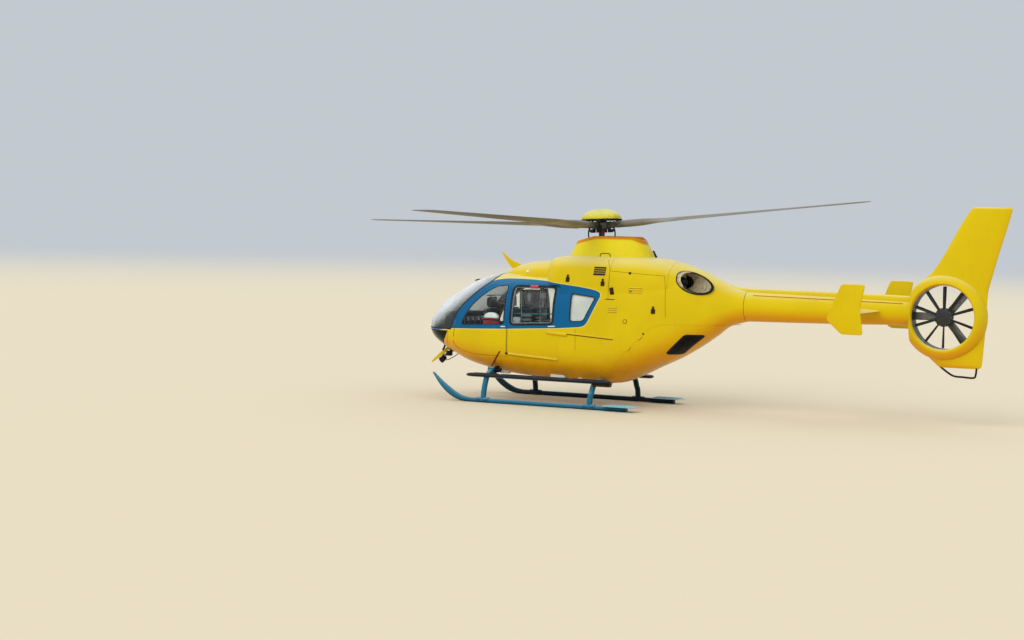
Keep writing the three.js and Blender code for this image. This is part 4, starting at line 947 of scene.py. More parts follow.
def markBand(thing, outline=bandOutline):
    # Stores each vertex's distance inside the band's outline, so that the paint can draw a crisp edge
    co = np.empty(len(thing.data.vertices) * 3)
    thing.data.vertices.foreach_get("co", co)
    co = co.reshape(-1, 3)
    px, pz = co[:, 0] / mm - mastX, co[:, 2] / mm
    away = np.full(len(px), 1e9)
    inside = np.zeros(len(px), bool)
    for (ax, az), (bx, bz) in zip(outline, outline[1:] + outline[:1]):
        dx, dz = bx - ax, bz - az
        t = np.clip(((px - ax) * dx + (pz - az) * dz) / (dx * dx + dz * dz), 0, 1)
        away = np.minimum(away, np.hypot(px - ax - t * dx, pz - az - t * dz))
        crosses = (az > pz) != (bz > pz)
        inside ^= crosses & (px < (bx - ax) * (pz - az) / (bz - az if bz != az else 1e-9) + ax)
    signed = np.where(inside, away, -away) * mm
    layer = thing.data.attributes.new("bandEdge", "FLOAT", "POINT")
    layer.data.foreach_set("value", signed.astype(np.float32))


# Fuselage, doors and glass, cut from one dense skin

skin = {"wall": 30, "door": 42, "pane": 10, "cowl": 25, "gap": 12, "touch": 0.3, "post": 26, "keel": 60,
        "deck": 2040, "deckWall": 22, "roofEdge": 350, "bayEnd": -2290, "cowlSplit": -470,
        "engineEnd": -1450, "slidingSeam": 7, "floor": 700, "roomEnd": -2330}
floorTop = skin["floor"] + skin["touch"]
tools = []


def tool(thing):
    # a shape that only cuts, dropped at the end
    tools.append(thing)
    return thing


def podTool(setBack, end, inset, material=None):
    # the pod with its skin moved in, or out if inset is negative
    return tool(bodySolid(podShape, noseX - setBack, end, inset, material))


def podShell(material, outer, inner):
    # what lies between two such solids, each given as (setBack, end, inset)
    return carve(podTool(*outer, material), podTool(*inner, material))


roomEnd, wall = skin["roomEnd"], skin["wall"]
pod = podTool(0, podEnd, 0, cabinPaint)
podInside = podTool(45, roomEnd, wall, cabinLining)
doorInside = podTool(60, roomEnd, skin["door"], cabinLining)
furnitureRoom = podTool(70, roomEnd, skin["door"] + 20, blackPanel)
paneInside = podTool(18, roomEnd, skin["pane"])
cowlInside = podTool(40, roomEnd, skin["cowl"], cabinLining)
bulge = tool(bodySolid(bulgeShape, bulgeFront, bulgeEnd, 0, cabinPaint, 112, 45, 300))
bulgeInside = tool(bodySolid(bulgeShape, bulgeFront - 30, bulgeEnd, skin["cowl"],
                             cabinLining, 112, 45, 300))
roof = tool(bodySolid(roofShape, noseX, -1000, 0, cabinPaint))
roofClear = tool(bodySolid(roofShape, noseX, -1000, -skin["touch"], cabinPaint))
roofInside = tool(bodySolid(roofShape, noseX - 45, -1000, wall, cabinLining))


def sidePrism(outline, grow=0.0, start=2, end=far, material=cabinPaint):
    # a side-view outline pushed right across the port half
    return tool(prism(grown(outline, grow) if grow else outline, start, end, "y", material))


def toolBlock(*sizes, material=yellowPaint):
    return tool(block(*sizes, material))


panes = {}
paneShell = tool(carve(copyOf(pod), paneInside))
for name, start in (("windshield", skin["post"] + 0.3), ("chin", skin["keel"] + 0.3), ("frontWindow", 2),
                    ("slidingWindow", 2), ("rearWindow", 2), ("clamWindow", 2)):
    pane = within(copyOf(paneShell), sidePrism(outlines[name], -0.3, start))
    pane.data.materials.clear()
    pane.data.materials.append(smokedAcrylic if name in ("chin", "clamWindow") else
                               skyGlareAcrylic if name == "windshield" else clearAcrylic)
    panes[name] = pane

doorShell = tool(carve(copyOf(pod), doorInside))
frontDoor = within(copyOf(doorShell), sidePrism(outlines["frontDoor"]))
carve(frontDoor, sidePrism(outlines["frontWindow"]))
slidingDoor = within(copyOf(doorShell), sidePrism(outlines["slidingDoor"]))
carve(slidingDoor, sidePrism(outlines["slidingWindow"]))
clamDoor = carve(copyOf(pod), podInside)
within(clamDoor, sidePrism(outlines["clamshell"], 0, skin["gap"] / 2))
carve(clamDoor, sidePrism(outlines["clamWindow"]))

# Hinge knuckles stand in the seams ahead of both hinged doors
hinges = {"frontDoor": ((2458, 675.4, 990), (2418, 685, 1370)),
          "clamDoor": ((-844, 730.2, 1000), (-1094, 691.2, 1250))}


def knuckles(ends, radius, length):
    a, b = (np.array(end) for end in ends)
    half = (b - a) / np.linalg.norm(b - a) * length / 2
    return [tube([a + (b - a) * t - half, a + (b - a) * t + half], radius, cabinPaint) for t in (0.12, 0.88)]


for door, ends in ((frontDoor, hinges["frontDoor"]), (clamDoor, hinges["clamDoor"])):
    carve(door, *(tool(notch) for notch in knuckles(ends, 15.2, 82)))
doorHinges = joined(*(k for ends in hinges.values() for k in knuckles(ends, 13.6, 69)))
markBand(doorHinges)
fitBoth("doorHinges", "yellow_paint", doorHinges)

fuselage = united(copyOf(pod), bulge)
outerSkin = tool(copyOf(fuselage))
carve(fuselage, toolBlock(skin["bayEnd"], bulgeFront + 20, -far, far, skin["deck"], far))
carve(fuselage, podInside)
roofPanel = tool(within(copyOf(roof), toolBlock(skin["roofEdge"], far, -far, far, skin["deck"] - 200, far)))
carve(roofPanel, roofInside)
deckPlate = toolBlock(skin["bayEnd"], skin["roofEdge"] + 20, -far, far, skin["deck"] - skin["deckWall"],
                      skin["deck"])
within(deckPlate, pod)
united(fuselage, roofPanel, deckPlate)
for name, grow, start in (("windshield", 0, skin["post"]), ("chin", 0, skin["keel"]),
                          ("frontDoor", skin["gap"], 2), ("slidingDoor", skin["slidingSeam"], 2),
                          ("rearWindow", 0, 2)):
    cutter = sidePrism(outlines[name], grow, start)
    carve(fuselage, cutter, tool(mirrored(cutter)))
carve(fuselage, sidePrism(outlines["clamshell"], skin["gap"], -far),
      toolBlock(-2228, -2100, -far, far, 0, 1450 + skin["gap"]))

# Exhausts turn outboard through the cowling and end just proud of it


def exhaustBar(radius, start, end, material=heatedSteel):
    yaw = math.radians(exhaust["yaw"])
    way, centre = np.array([-math.cos(yaw), math.sin(yaw), 0]), np.array(exhaust["centre"], float)
    return tube([centre + way * start, centre + way * end], radius, material, 96)


def exhaustTrim(outside, bore, proud, sunk, material=None):
    # a steel ring round the exhaust, from sunk to proud millimetres over the skin
    ring = within(exhaustBar(outside, -100, 420, blackSteel),
                  podTool(0, podEnd, -proud, material), exhaustReach)
    return carve(ring, podTool(0, podEnd, -sunk, material), tool(exhaustBar(bore, -292, 500, blackSteel)))


exhaustReach = toolBlock(-far, 0, 130, far, 1900, far)
exhaustHole = tool(within(exhaustBar(exhaust["radius"] + 0.8, -340, 500, yellowPaint), exhaustReach))
otherHole = tool(mirrored(exhaustHole))
carve(fuselage, exhaustHole, otherHole)
markBand(fuselage)
fit("fuselage", fuselage, "airframe", "yellow_paint", "fuselage_shell")
print("cabin skin cut")

for name, part, nodeName, body in (("frontDoor", frontDoor, "front_door", "front_door"),
                                   ("slidingDoor", slidingDoor, "sliding_door", "airframe"),
                                   ("clamDoor", clamDoor, "clamshell_door", "clamshell")):
    markBand(part)
    fitPair(name, part, body, "yellow_paint", nodeName)
for name, nodeName, body in (("windshield", "windshield", "airframe"), ("chin", "chin_window", "airframe"),
                             ("frontWindow", "front_door_window", "front_door"),
                             ("slidingWindow", "sliding_door_window", "airframe"),
                             ("rearWindow", "rear_side_window", "airframe"),
                             ("clamWindow", "clamshell_window", "clamshell")):
    slot = "dark_window" if name in ("chin", "clamWindow") else "window"
    fitPair(name, panes[name], body, slot, nodeName)

# Rubber seals: thin rings cut from a shell that stands a little proud of the skin
sealShell = podShell(blackRubber, (0, podEnd, -2.5), (12, podEnd + 5, 9))


def sealRing(outline, outside, inside, start=2, shell=None):
    paint = cabinPaint if shell else blackRubber
    ring = within(copyOf(shell or sealShell), sidePrism(outline, outside, start, far, paint))
    return carve(ring, sidePrism(outline, inside, -far, far, paint))


fitBoth("windshieldSeal", "cabin_trim", sealRing(outlines["windshield"], 11, -9, skin["post"] - 6))
fitBoth("chinSeal", "cabin_trim", sealRing(outlines["chin"], 8, -7, skin["keel"] - 6))
fitPair("frontWindowSeal", sealRing(outlines["frontWindow"], 5, -8), "front_door", "cabin_trim")
fitPair("clamWindowSeal", sealRing(outlines["clamWindow"], 11, -10), "clamshell", "cabin_trim")
sideSeals = [sealRing(outlines["slidingWindow"], 25, -12), sealRing(outlines["rearWindow"], 7, -9)]

# Filler strips lie sunk in the door seams, and leave the swinging edges free
jambShell = podShell(cabinPaint, (10, podEnd + 5, 2), (30, podEnd + 5, 26))
slidingJamb = sealRing(outlines["slidingDoor"], skin["slidingSeam"] - 0.5, 0.5, 2, jambShell)
frontJamb = sealRing(outlines["frontDoor"], skin["gap"] - 0.5, 5.5, 2, jambShell)
carve(frontJamb, toolBlock(2330, far, -far, far, 860, 1450))
doorJambs = joined(slidingJamb, frontJamb)
markBand(doorJambs)
fitBoth("doorJambs", "yellow_paint", doorJambs)
fitBoth("sideSeals", "cabin_trim", *sideSeals)

# A pale inner frame with bright screws lines the sliding door's window, and a blind hangs in the rear one
frameShell = podShell(greyShell, (60, roomEnd, 11), (80, roomEnd, 34))
innerFrame = sealRing(outlines["slidingWindow"], -0.6, -24, 2, frameShell)
innerFrame.data.materials.clear()
innerFrame.data.materials.append(greyShell)
fitBoth("slidingWindowFrame", "cabin_trim", innerFrame)
blindShell = podShell(paleBlind, (60, roomEnd, 33), (80, roomEnd, 36))
blind = within(copyOf(blindShell), sidePrism(outlines["rearWindow"], 14, 2, far, paleBlind))
fitBoth("rearWindowBlind", "cabin_trim", blind)
screwPlaces = [skinPlace(x, z, -10) for x, z in [(1280, 1958), (1292, 1392), (560, 1962), (556, 1428),
                                                 (920, 1374), (920, 1976), (1300, 1670), (538, 1700)]]
fitBoth("frameScrews", "engine_metal", scatter(rivetHead(11, 4), screwPlaces, brightSteel))
print("doors, windows and seals")

# Cowlings: shells over the engine bay, split at the photograph's seams

mastPlace = uprightPlace(0, 0, 3060, 3)
mastHole = tool(tube(placed(mastPlace, [(0, 0, -720), (0, 0, -440)]), 190, yellowPaint, 64))
cowlShell = tool(within(copyOf(outerSkin), toolBlock(skin["bayEnd"] + 0.3, bulgeFront + 20, -far, far,
                                                     skin["deck"] + 0.3, far)))
roofRoom = within(roofClear, toolBlock(skin["roofEdge"] - 0.3, far, -far, far, skin["deck"] - 200, far))
bayRoom = tool(united(copyOf(cowlInside), bulgeInside))
within(bayRoom, toolBlock(skin["bayEnd"] + 25, far, -far, far, skin["deck"] - 100,
                          far, material=cabinLining))
carve(cowlShell, roofRoom, bayRoom, mastHole, exhaustHole, otherHole)


def cowlPiece(x0, x1, y0, y1):
    piece = within(copyOf(cowlShell), toolBlock(x0 + 2, x1 - 2, y0, y1, 0, far))
    markBand(piece)
    return piece


fit("gearboxCowling", cowlPiece(skin["cowlSplit"], bulgeFront + 40, -far, far), "airframe",
    "yellow_paint", "gearbox_cowling")
fitPair("engineCowling", cowlPiece(skin["engineEnd"], skin["cowlSplit"], 2, far), "airframe",
        "yellow_paint", "engine_cowling")
fit("rearCowling", cowlPiece(skin["bayEnd"] - 4, skin["engineEnd"], -far, far), "airframe",
    "yellow_paint", "rear_cowling")

fairing = bodySolid(fairingShape, fairingFront, 640, 0, yellowPaint, 96, 30, 500)
fairing = carve(fairing, roof, pod, bulge)
fairing = within(fairing, toolBlock(660, far, -far, far, 2140, far))
fit("roofFairing", fairing, "airframe", "yellow_paint", "roof_fairing")

# Pylon around the mast: an upright shell with a sloping, rimmed top
pylonRows = filled([(2400, 605, -1065, 410), (2560, 528, -978, 365), (2700, 460, -903, 314),
                    (2862, 398, -822, 268), (2885, 406, -830, 276)], 5)


def pylonSolid(inset, lowest=0, highest=0):
    _, c, s = around(96, 0.5)
    rings = []
    for i, (z, front, back, half) in enumerate(pylonRows):
        z += lowest if i == 0 else highest if i == len(pylonRows) - 1 else 0
        x = (front + back) / 2 + ((front - back) / 2 - inset) * squared(c, 0.8)
        rings.append(np.column_stack([x, (half - inset) * squared(s, 0.8), np.full(96, z)]))
    return loft(rings, pylonPaint)


pylon = pylonSolid(0)
pylonLid = tool(within(copyOf(pylon), toolBlock(-far, -330, -far, far, 2772, 2789)))
carve(pylon, tool(pylonSolid(18, -10, 30)))
united(pylon, pylonLid)
for cut in ([(-12, 2890), (800, 2681), (800, 3200), (-12, 3200)],
            [(-660, 2892), (-900, 2796), (-900, 3200), (-660, 3200)]):
    carve(pylon, tool(prism(cut, -far, far, "y", pylonPaint)))
carve(pylon, outerSkin)
markBand(pylon, rimShadeOutline)
fit("mastPylon", pylon, "airframe", "yellow_paint", "mast_pylon")

bore = exhaust["radius"]
pipe = within(exhaustBar(bore, -300, 420), podTool(0, podEnd, -exhaust["proud"]), exhaustReach)
carve(pipe, tool(exhaustBar(bore - exhaust["wall"], -292, 500)))
yawCos, yawSin = math.cos(math.radians(exhaust["yaw"])), math.sin(math.radians(exhaust["yaw"]))
conePlace = axes((0, 0, 1), (yawSin, yawCos, 0), (-yawCos, yawSin, 0), exhaust["centre"])
cone = lathe([(0, -296), (92, -296), (84, -240), (52, -190), (14, -165), (0, -163)], blackSteel, conePlace)
lip = exhaustTrim(bore - 0.5, bore - 20, exhaust["proud"] + 3, exhaust["proud"] - exhaust["lip"])
fitBoth("exhaustCollars", "engine_metal",
        exhaustTrim(bore + exhaust["collar"], bore + 1.2, 12, -2, blackSteel))
fitPair("exhaustPipe", joined(pipe, cone, softened(lip, 3)), "airframe", "exhaust_metal", "exhaust")
print("cowlings, pylon and exhausts")

# Tail boom, shaft cover, fin with the fan's shroud, tailplane

boomEnd = -5480
boomShape = bodyShape(podEnd + 1, [
    (podEnd, 1540, 2050, 250, 1795, 2.05, 2.05), (-3300, 1552, 2040, 226, 1795, 2.0, 2.0),
    (-4400, 1575, 2025, 190, 1800, 2.0, 2.0), (boomEnd, 1610, 2005, 152, 1808, 2.0, 2.0)])
boom = loft([sectionRing(x, boomShape, 0, 96) for x in np.linspace(podEnd - 8, boomEnd, 60)], yellowPaint)
sleeve = loft([sectionRing(x, boomShape, 5, 96) for x in (podEnd + 0.5, podEnd - 30)], blackRubber)
fit("tailBoom", joined(boom, sleeve), "airframe", "yellow_paint", "tail_boom")

coverRows = filled([(-2310, 2150, 50), (-2400, 2142, 76), (-2500, 2114, 84), (-2620, 2098, 88),
                    (-2760, 2094, 90), (-4400, 2088, 88), (boomEnd + 10, 2074, 84)], 8)
cover = loft([sectionRing(x, lambda _: (1850, top, half, 1900, 3, 3.2), 0, 72)
              for x, top, half in coverRows], yellowPaint)
cover = within(cover, toolBlock(-far, far, -far, far, 1960, far))
carve(cover, toolBlock(-2400, far, -far, far, 0, 2040))
for x in (-3260, -3840, -4420, -5000):
    carve(cover, toolBlock(x - 3, x + 3, -far, far, 2075, far))
fit("driveShaftCover", cover, "airframe", "yellow_paint", "drive_shaft_cover")

tail = {"fanX": -6020, "fanY": 45, "fanZ": 1760, "duct": 508, "lip": 52, "blades": 10}
shroudPlace, fanPlace, podPlace = (axes((0, 0, 1), (1, 0, 0), (0, 1, 0), (tail["fanX"], y, tail["fanZ"]))
                                   for y in (0, tail["fanY"], -46))
shroudHalf = spline([(528, 176), (570, 168), (630, 128), (670, 78), (690, 22)], 5)
shroud = lathe([(0, -176)] + [(r, -h) for r, h in shroudHalf] + [(r, h) for r, h in reversed(shroudHalf)]
               + [(0, 176)], yellowPaint, shroudPlace, 128)


def leaf(half, angle):
    # half thickness round an aerofoil: full ahead, thin behind
    return half * np.sin(angle) * (0.55 + 0.45 * np.cos(angle / 2) ** 2)


def lensRing(z, front, back, half):
    angle, c, _ = around(48)
    return np.column_stack([back + (front - back) * (0.5 + 0.5 * c), leaf(half, angle), np.full(48, z)])


tailX = -7060
finRows = [(1820, -5340, -6690, 165), (2150, -5480, -6700, 150), (2330, -5640, -6735, 128),
           (2480, -5800, -6775, 108), (2700, -5945, -6830, 92), (3420, -6345, -7030, 62),
           (3500, -6410, tailX + 12, 48), (3520, -6470, tailX + 40, 18)]
lowerRows = [(960, -5960, -6600, 26), (1010, -5900, -6640, 60), (1250, -5640, -6660, 110),
             (1700, -5380, -6690, 160)]
neckRows = [(boomEnd - 0.3, 1610, 2005, 152), (-5640, 1560, 2060, 152), (-5800, 1480, 2130, 140)]
fin = loft([lensRing(*row) for row in filled(finRows, 5)], yellowPaint)
lowerFin = tool(loft([lensRing(*row) for row in filled(lowerRows, 5)], yellowPaint))
neck = tool(loft([sectionRing(x, lambda _: (bottom, top, half, (bottom + top) / 2, 2, 2), 0, 96)
                  for x, bottom, top, half in reversed(filled(neckRows, 6))], yellowPaint))
united(fin, tool(shroud), lowerFin, neck)
carve(fin, toolBlock(boomEnd - 0.3, far, -far, far, 0, far))
ductBar = tool(lathe([(0, -400), (tail["duct"], -400), (tail["duct"], 400), (0, 400)],
                     fanPaint, shroudPlace, 128))
lipCurve = [(tail["duct"] + tail["lip"] * (1 - math.sqrt(1 - t * t)), 122 + 60 * t)
            for t in np.linspace(0, 1, 9)]
carve(fin, ductBar)
for side in (1, -1):
    carve(fin, tool(lathe([(0, 120 * side)] + [(r, h * side) for r, h in lipCurve] + [(0, 182 * side)],
                          yellowPaint, shroudPlace, 128)))
fit("tailFin", fin, "airframe", "yellow_paint", "tail_fin")


def bladeRing(r, chord, thick, pitch, shift=0.0, count=32):
    thickness = min(1.0, thick / chord / 0.55)  # round at the root, thin at the aerofoil's trailing edge
    angle, c, s = around(count)
    taper = thickness + (1 - thickness) * (0.4 + 0.6 * np.cos(angle / 2) ** 2)
    a, b = chord / 2 * c + shift, thick / 2 * s * taper
    c, s = math.cos(pitch), math.sin(pitch)
    return np.column_stack([np.full(count, r), a * c - b * s, a * s + b * c])


fanRows = filled([(118, 60, 24, 1.0), (300, 66, 18, 0.8), (492, 62, 12, 0.6)], 5)
fanBlade = loft([bladeRing(*row, 0, 16) for row in fanRows], bare=True)
fan = wheel(smooth(fanBlade), tail["blades"], 0, fanPaint, fanPlace)
fanHub = lathe([(0, -34), (144, -34), (150, -28), (150, 28), (142, 40), (110, 60), (60, 70),
                (0, 74)], fanPaint, fanPlace)
fanBolt = lathe([(7, 0), (7, 9), (0, 10)], None, uprightPlace(128, 0, 40), 6, True)
fanBolts = wheel(fanBolt, 10, 18, brightSteel, fanPlace)
fit("tailRotor", joined(fanHub, fan, fanBolts), "tail_fan", "fan_black", "tail_rotor")
fanPodCurve = spline([(0, -120), (40, -116), (80, -100), (118, -60), (128, 0), (128, 40)], 4)
fanPod = lathe(fanPodCurve + [(124, 46), (0, 46)], castAluminium, podPlace)
fanShaft = lathe([(0, 20), (42, 20), (42, 96), (0, 96)], brightSteel, podPlace)
struts = []
for angle in (90, 220, 320):
    c, s = math.cos(math.radians(angle)), math.sin(math.radians(angle))
    place = (podPlace[0] @ axes((c, s, 0), (-s, c, 0), (0, 0, 1))[0], podPlace[1])
    struts.append(block(80, 507, -62, 62, -15, 7, castAluminium, place, 8))
fit("tailRotorSupport", joined(fanPod, fanShaft, *struts), "airframe", "engine_metal", "tail_rotor_support")

stab = {"front": -4550, "chord": 450, "z": 1815, "span": 1300, "thick": 64, "plate": 26}


def stabRing(y):
    angle, c, _ = around(40)
    return np.column_stack([stab["front"] - stab["chord"] * (0.5 - 0.5 * c), np.full(40, y),
                            stab["z"] + leaf(stab["thick"] / 2, angle)])


tailplane = loft([stabRing(y) for y in np.linspace(-stab["span"], stab["span"], 25)], yellowPaint)
for y in (-760, 760, -1180, 1180):
    carve(tailplane, toolBlock(-5000, -4880, y - 2.5, y + 2.5, 1700, 1900))
fit("tailplane", tailplane, "airframe", "yellow_paint", "tailplane")
front = stab["front"]
plateOutline = rounded([(front + 60, 1700), (front - 170, 2270), (front - 560, 2270), (front - 480, 1900),
                        (front - 540, 1480), (front - 190, 1480)], 50)
plate = softened(prism(plateOutline, stab["span"] + 0.3, stab["span"] + stab["plate"], "y", yellowPaint), 9)
fitPair("endPlate", plate, "airframe", "yellow_paint", "end_plate")
bumperPath = spline([(-5980, 0, 975), (-6010, 0, 945), (-6180, 0, 838), (-6350, 0, 822), (-6520, 0, 820),
                     (-6552, 0, 880), (-6560, 0, 975)], 6)
fit("tailBumper", tube(bumperPath, 16, blackSteel), "airframe", "blue_paint", "tail_bumper")
print("tail finished")

# Main rotor, built upright about its own axis and then tipped with the mast

rotor = {"cone": 2.8, "first": -9, "blades": 4, "rodReach": 205, "rodAngle": 26}
bladeRows = [(428.5, 150, 96, 0, 0), (520, 178, 122, 3, 0), (760, 196, 118, 8, 0), (1150, 232, 78, 12, 0),
             (1420, 289, 38, 12.5, 0), (2600, 289, 35, 9, 0), (3900, 289, 32, 4.8, 0),
             (4760, 289, 30, 2, 0), (4960, 246, 24, 1.4, -22), (5094, 130, 10, 1, -74)]
conePlaceUp = uprightPlace(0, 0, 0, -rotor["cone"])
rows = filled(bladeRows, 6)
blade = loft([placed(conePlaceUp, bladeRing(r, chord, thick, math.radians(pitch), shift))
              for r, chord, thick, pitch, shift in rows], bare=True)
chordShare = np.concatenate([np.where(row[0] > 1500, 0.5 + 0.5 * around(32)[1], 0.5) for row in rows]
                            + [[0.5, 0.5]])
spanShare = np.concatenate([np.full(32, row[0] * mm) for row in rows] + [[0.43, 5.1]])
for label, values in (("chord", chordShare), ("span", spanShare)):
    blade.data.attributes.new(label, "FLOAT", "POINT").data.foreach_set("value", values.astype(np.float32))
blades = wheel(smooth(blade), rotor["blades"], rotor["first"], bladePaint, mastPlace)
fit("rotorBlades", blades, "main_rotor", "rotor_blade",
    *(f"rotor_blade_{i + 1}" for i in range(rotor["blades"])))


def ringOf(thing, material, first=rotor["first"], count=rotor["blades"]):
    return wheel(thing, count, first, material, mastPlace)


hubCore = lathe([(0, -62), (150, -62), (165, -50), (165, 52), (150, 66), (96, 66), (90, 72), (90, 106),
                 (84, 112), (0, 112)], hubAlloy, mastPlace, 96)
arms = ringOf(block(80, 428, -68, 68, -50, 52, None, conePlaceUp, 16, True), hubAlloy)
horns = ringOf(block(158, 212, 60, 112, -40, -6, None, conePlaceUp, 8, True), blackSteel)
armBolts = ringOf(joined(*(lathe([(17, 44), (17, 60), (13, 66), (0, 67)], None, uprightPlace(330, y, 12),
                                 12, True) for y in (34, -34))), blackSteel)
damperRows = [(150, 40, 46, 6, -118, -108), (238, -40, 34, 4, -108, -100)]
dampers = ringOf(joined(*(lathe([(0, low), (r - chamfer, low), (r, bevel), (r, -62), (0, -62)], None,
                                uprightPlace(x, y, 0), 24, True)
                          for x, y, r, chamfer, low, bevel in damperRows)), blackRubber)
fit("rotorHub", joined(hubCore, arms, horns, armBolts, dampers), "main_rotor", "rotor_metal", "rotor_hub")

domeCurve = spline([(340, 120), (338, 150), (322, 178), (290, 208), (222, 250), (126, 279), (50, 288.5)], 5)
dome = lathe([(0, 112.3), (300, 112.3), (330, 114)] + domeCurve + [(0, 290)], domePaint, mastPlace, 96)
capScrew = lathe([(7, 0), (7, 4), (0, 5)], None, uprightPlace(318, 0, 184), 8, True)
capScrews = ringOf(capScrew, brightSteel, 0, 16)
brackets = ringOf(block(100, 352, -42, 42, 82, 111.5, None, None, 6, True), blackSteel, 36)
fit("hubCap", joined(dome, capScrews, brackets), "main_rotor", "yellow_paint", "hub_cap")

mast = lathe([(0, -705), (52, -705), (52, -250), (58, -240), (58, -215), (52, -205), (52, -62.3),
              (0, -62.3)], mastSteel, mastPlace)
swash = lathe([(60, -330), (168, -330), (178, -322), (178, -304), (168, -296), (60, -296)],
              castAluminium, mastPlace, 96)
swashHub = lathe([(0, -330), (74, -330), (74, -288), (66, -282), (0, -282)], castAluminium, mastPlace)
reach = rotor["rodReach"]
rod = tube(spline([(reach, 0, -320), (reach + 6, 0, -250), (reach + 22, 0, -170), (reach + 20, 0, -90),
                   (reach, 0, -22)], 5), 12, None, 12, True)
rodEnds = [lathe([(0, z - 20), (17, z - 16), (20, z), (17, z + 16), (0, z + 20)], None,
                 uprightPlace(reach, 0, 0), 16, True) for z in (-306, -36)]
rods = ringOf(joined(smooth(rod), *rodEnds), blackSteel, rotor["first"] + rotor["rodAngle"])
links = ringOf(tube([(reach * 0.5, 0, -313), (reach, 0, -313)], 15, None, 12, True), castAluminium,
               rotor["first"] + rotor["rodAngle"])
fit("rotorMast", joined(mast, swash, swashHub, rods, links), "main_rotor", "rotor_metal", "rotor_mast")
print("main rotor finished")

# Landing gear

gear = {"skidY": 1030, "frontX": 1669, "rearX": -323, "leg": 47, "stepY": 905, "stepZ": 456}
skidRows = [(-1010, 36, 84, 84, 0), (-400, 36, 84, 84, 0), (1700, 36, 84, 84, 0), (1900, 36, 84, 84, 0),
            (2060, 52, 90, 96, 0.2), (2190, 96, 100, 112, 0.45), (2320, 172, 104, 112, 0.62),
            (2480, 300, 92, 84, 0.74), (2640, 466, 50, 26, 0.84)]


def skidRing(x, z, width, height, lean):
    # a round section with a flat underside
    _, c, s = around(32, 0.5)
    up = np.maximum(-height / 2 + 6, height / 2 * s)
    return np.column_stack([x - up * math.sin(lean), gear["skidY"] + width / 2 * c,
                            z + up * math.cos(lean)])


skid = loft([skidRing(*row) for row in filled(skidRows, 5)], gearPaint)
paddleOutline = rounded([(-1170, 880), (-600, 880), (-600, 1180), (-1170, 1180)], 60)
paddle = softened(prism(paddleOutline, 78, 90, "z", skyLitPaddlePaint), 4)
ribs = [block(-1120, -650, y - 7, y + 7, 89, 101, skyLitPaddlePaint, None, 3) for y in (930, 1030, 1130)]
seat = block(-1000, -640, 994, 1066, 60, 80, gearPaint, None, 4)
saddles = [within(tube([(x - 110, 1030, 40), (x + 110, 1030, 40)], 52, gearPaint, 48),
                  toolBlock(x - 200, x + 200, 970, 1090, 14, 200)) for x in (gear["frontX"], gear["rearX"])]
# painted shade: black strips under the skid stand for the shade beneath the tube
shadeStrips = [block(x0, x1, 1002, 1058, 0.2, 12, blackSteel, None, 3)
         for x0, x1 in ((-990, -700), (-420, -180), (1560, 1790))]
bolts = [axes((1, 0, 0), (0, 0, -side), (0, side, 0), (x + dx, gear["skidY"] + side * 51, 44))
         for x in (gear["frontX"], gear["rearX"]) for dx in (-85, -45, 45, 85) for side in (1, -1)]
saddleBolts = scatter(lathe([(10, -2), (10, 7), (7, 10), (0, 10)], None, None, 6, True), bolts, blackSteel)
fitPair("skid", joined(skid, paddle, seat, *ribs, *[softened(s, 5) for s in saddles], *shadeStrips, saddleBolts),
        "airframe", "blue_paint", "skid")


def crossTube(x, middle, shoulder):
    half = [(x, 0, middle), (x, 480, middle + 8), (x, 740, shoulder + 20), (x, 880, shoulder - 40),
            (x, 950, shoulder - 150), (x, 1000, 210), (x, gear["skidY"] - 6, 72)]
    path = spline([(p[0], -p[1], p[2]) for p in reversed(half[1:])] + half, 6)
    return tube(path, gear["leg"], gearPaint, 32)


fit("frontCrossTube", crossTube(gear["frontX"], 520, 500), "airframe", "blue_paint", "front_cross_tube")
fit("rearCrossTube", crossTube(gear["rearX"], 432, 426), "airframe", "blue_paint", "rear_cross_tube")


def stepRing(x, size):
    _, c, s = around(40, 0.5)
    return np.column_stack([np.full(40, x), gear["stepY"] + 100 * size * c, gear["stepZ"] + 34 * size * s])


plank = loft([stepRing(x, size) for x, size in ((-645, 0.4), (-638, 0.62), (-625, 0.8), (-595, 0.94),
                                                (-560, 1), (600, 1), (1940, 1), (1985, 0.94), (2020, 0.8),
                                                (2036, 0.62), (2045, 0.4))], shadedStepPaint)
grips = [block(x0, x1, 866, 944, 486, 494, blackRubber, None, 2)
         for x0, x1 in ((-520, 60), (140, 720), (800, 1380), (1460, 1900))]
clampFront = block(gear["frontX"] - 58, gear["frontX"] + 58, 660, 790, 486, 590, gearPaint, None, 26)
clampBlack = joined(block(1556, 1596, 650, 770, 498, 612, blackSteel, None, 10),
                    tube([(1500, 735, 540), (1600, 735, 540)], 30, blackSteel, 24),
                    tube([(1480, 735, 566), (1560, 735, 516), (1600, 735, 500)], 13, blackSteel, 16))
rodRed = tube([(1499, 766, 875), (1560, 745, 800), (1717, 640, 600)], 13, redPaint, 16)
fit("stepBox", block(-646, -330, 852, 958, 384, 424, bronzeLatch, None, 8), "airframe", "engine_metal")
fitPair("boardingStep", joined(plank, *grips), "airframe", "blue_paint", "boarding_step")
fitBoth("legClamps", "blue_paint", clampFront, clampBlack, rodRed)
print("landing gear finished")

# Wire cutters: flat toothed blades above and below the nose

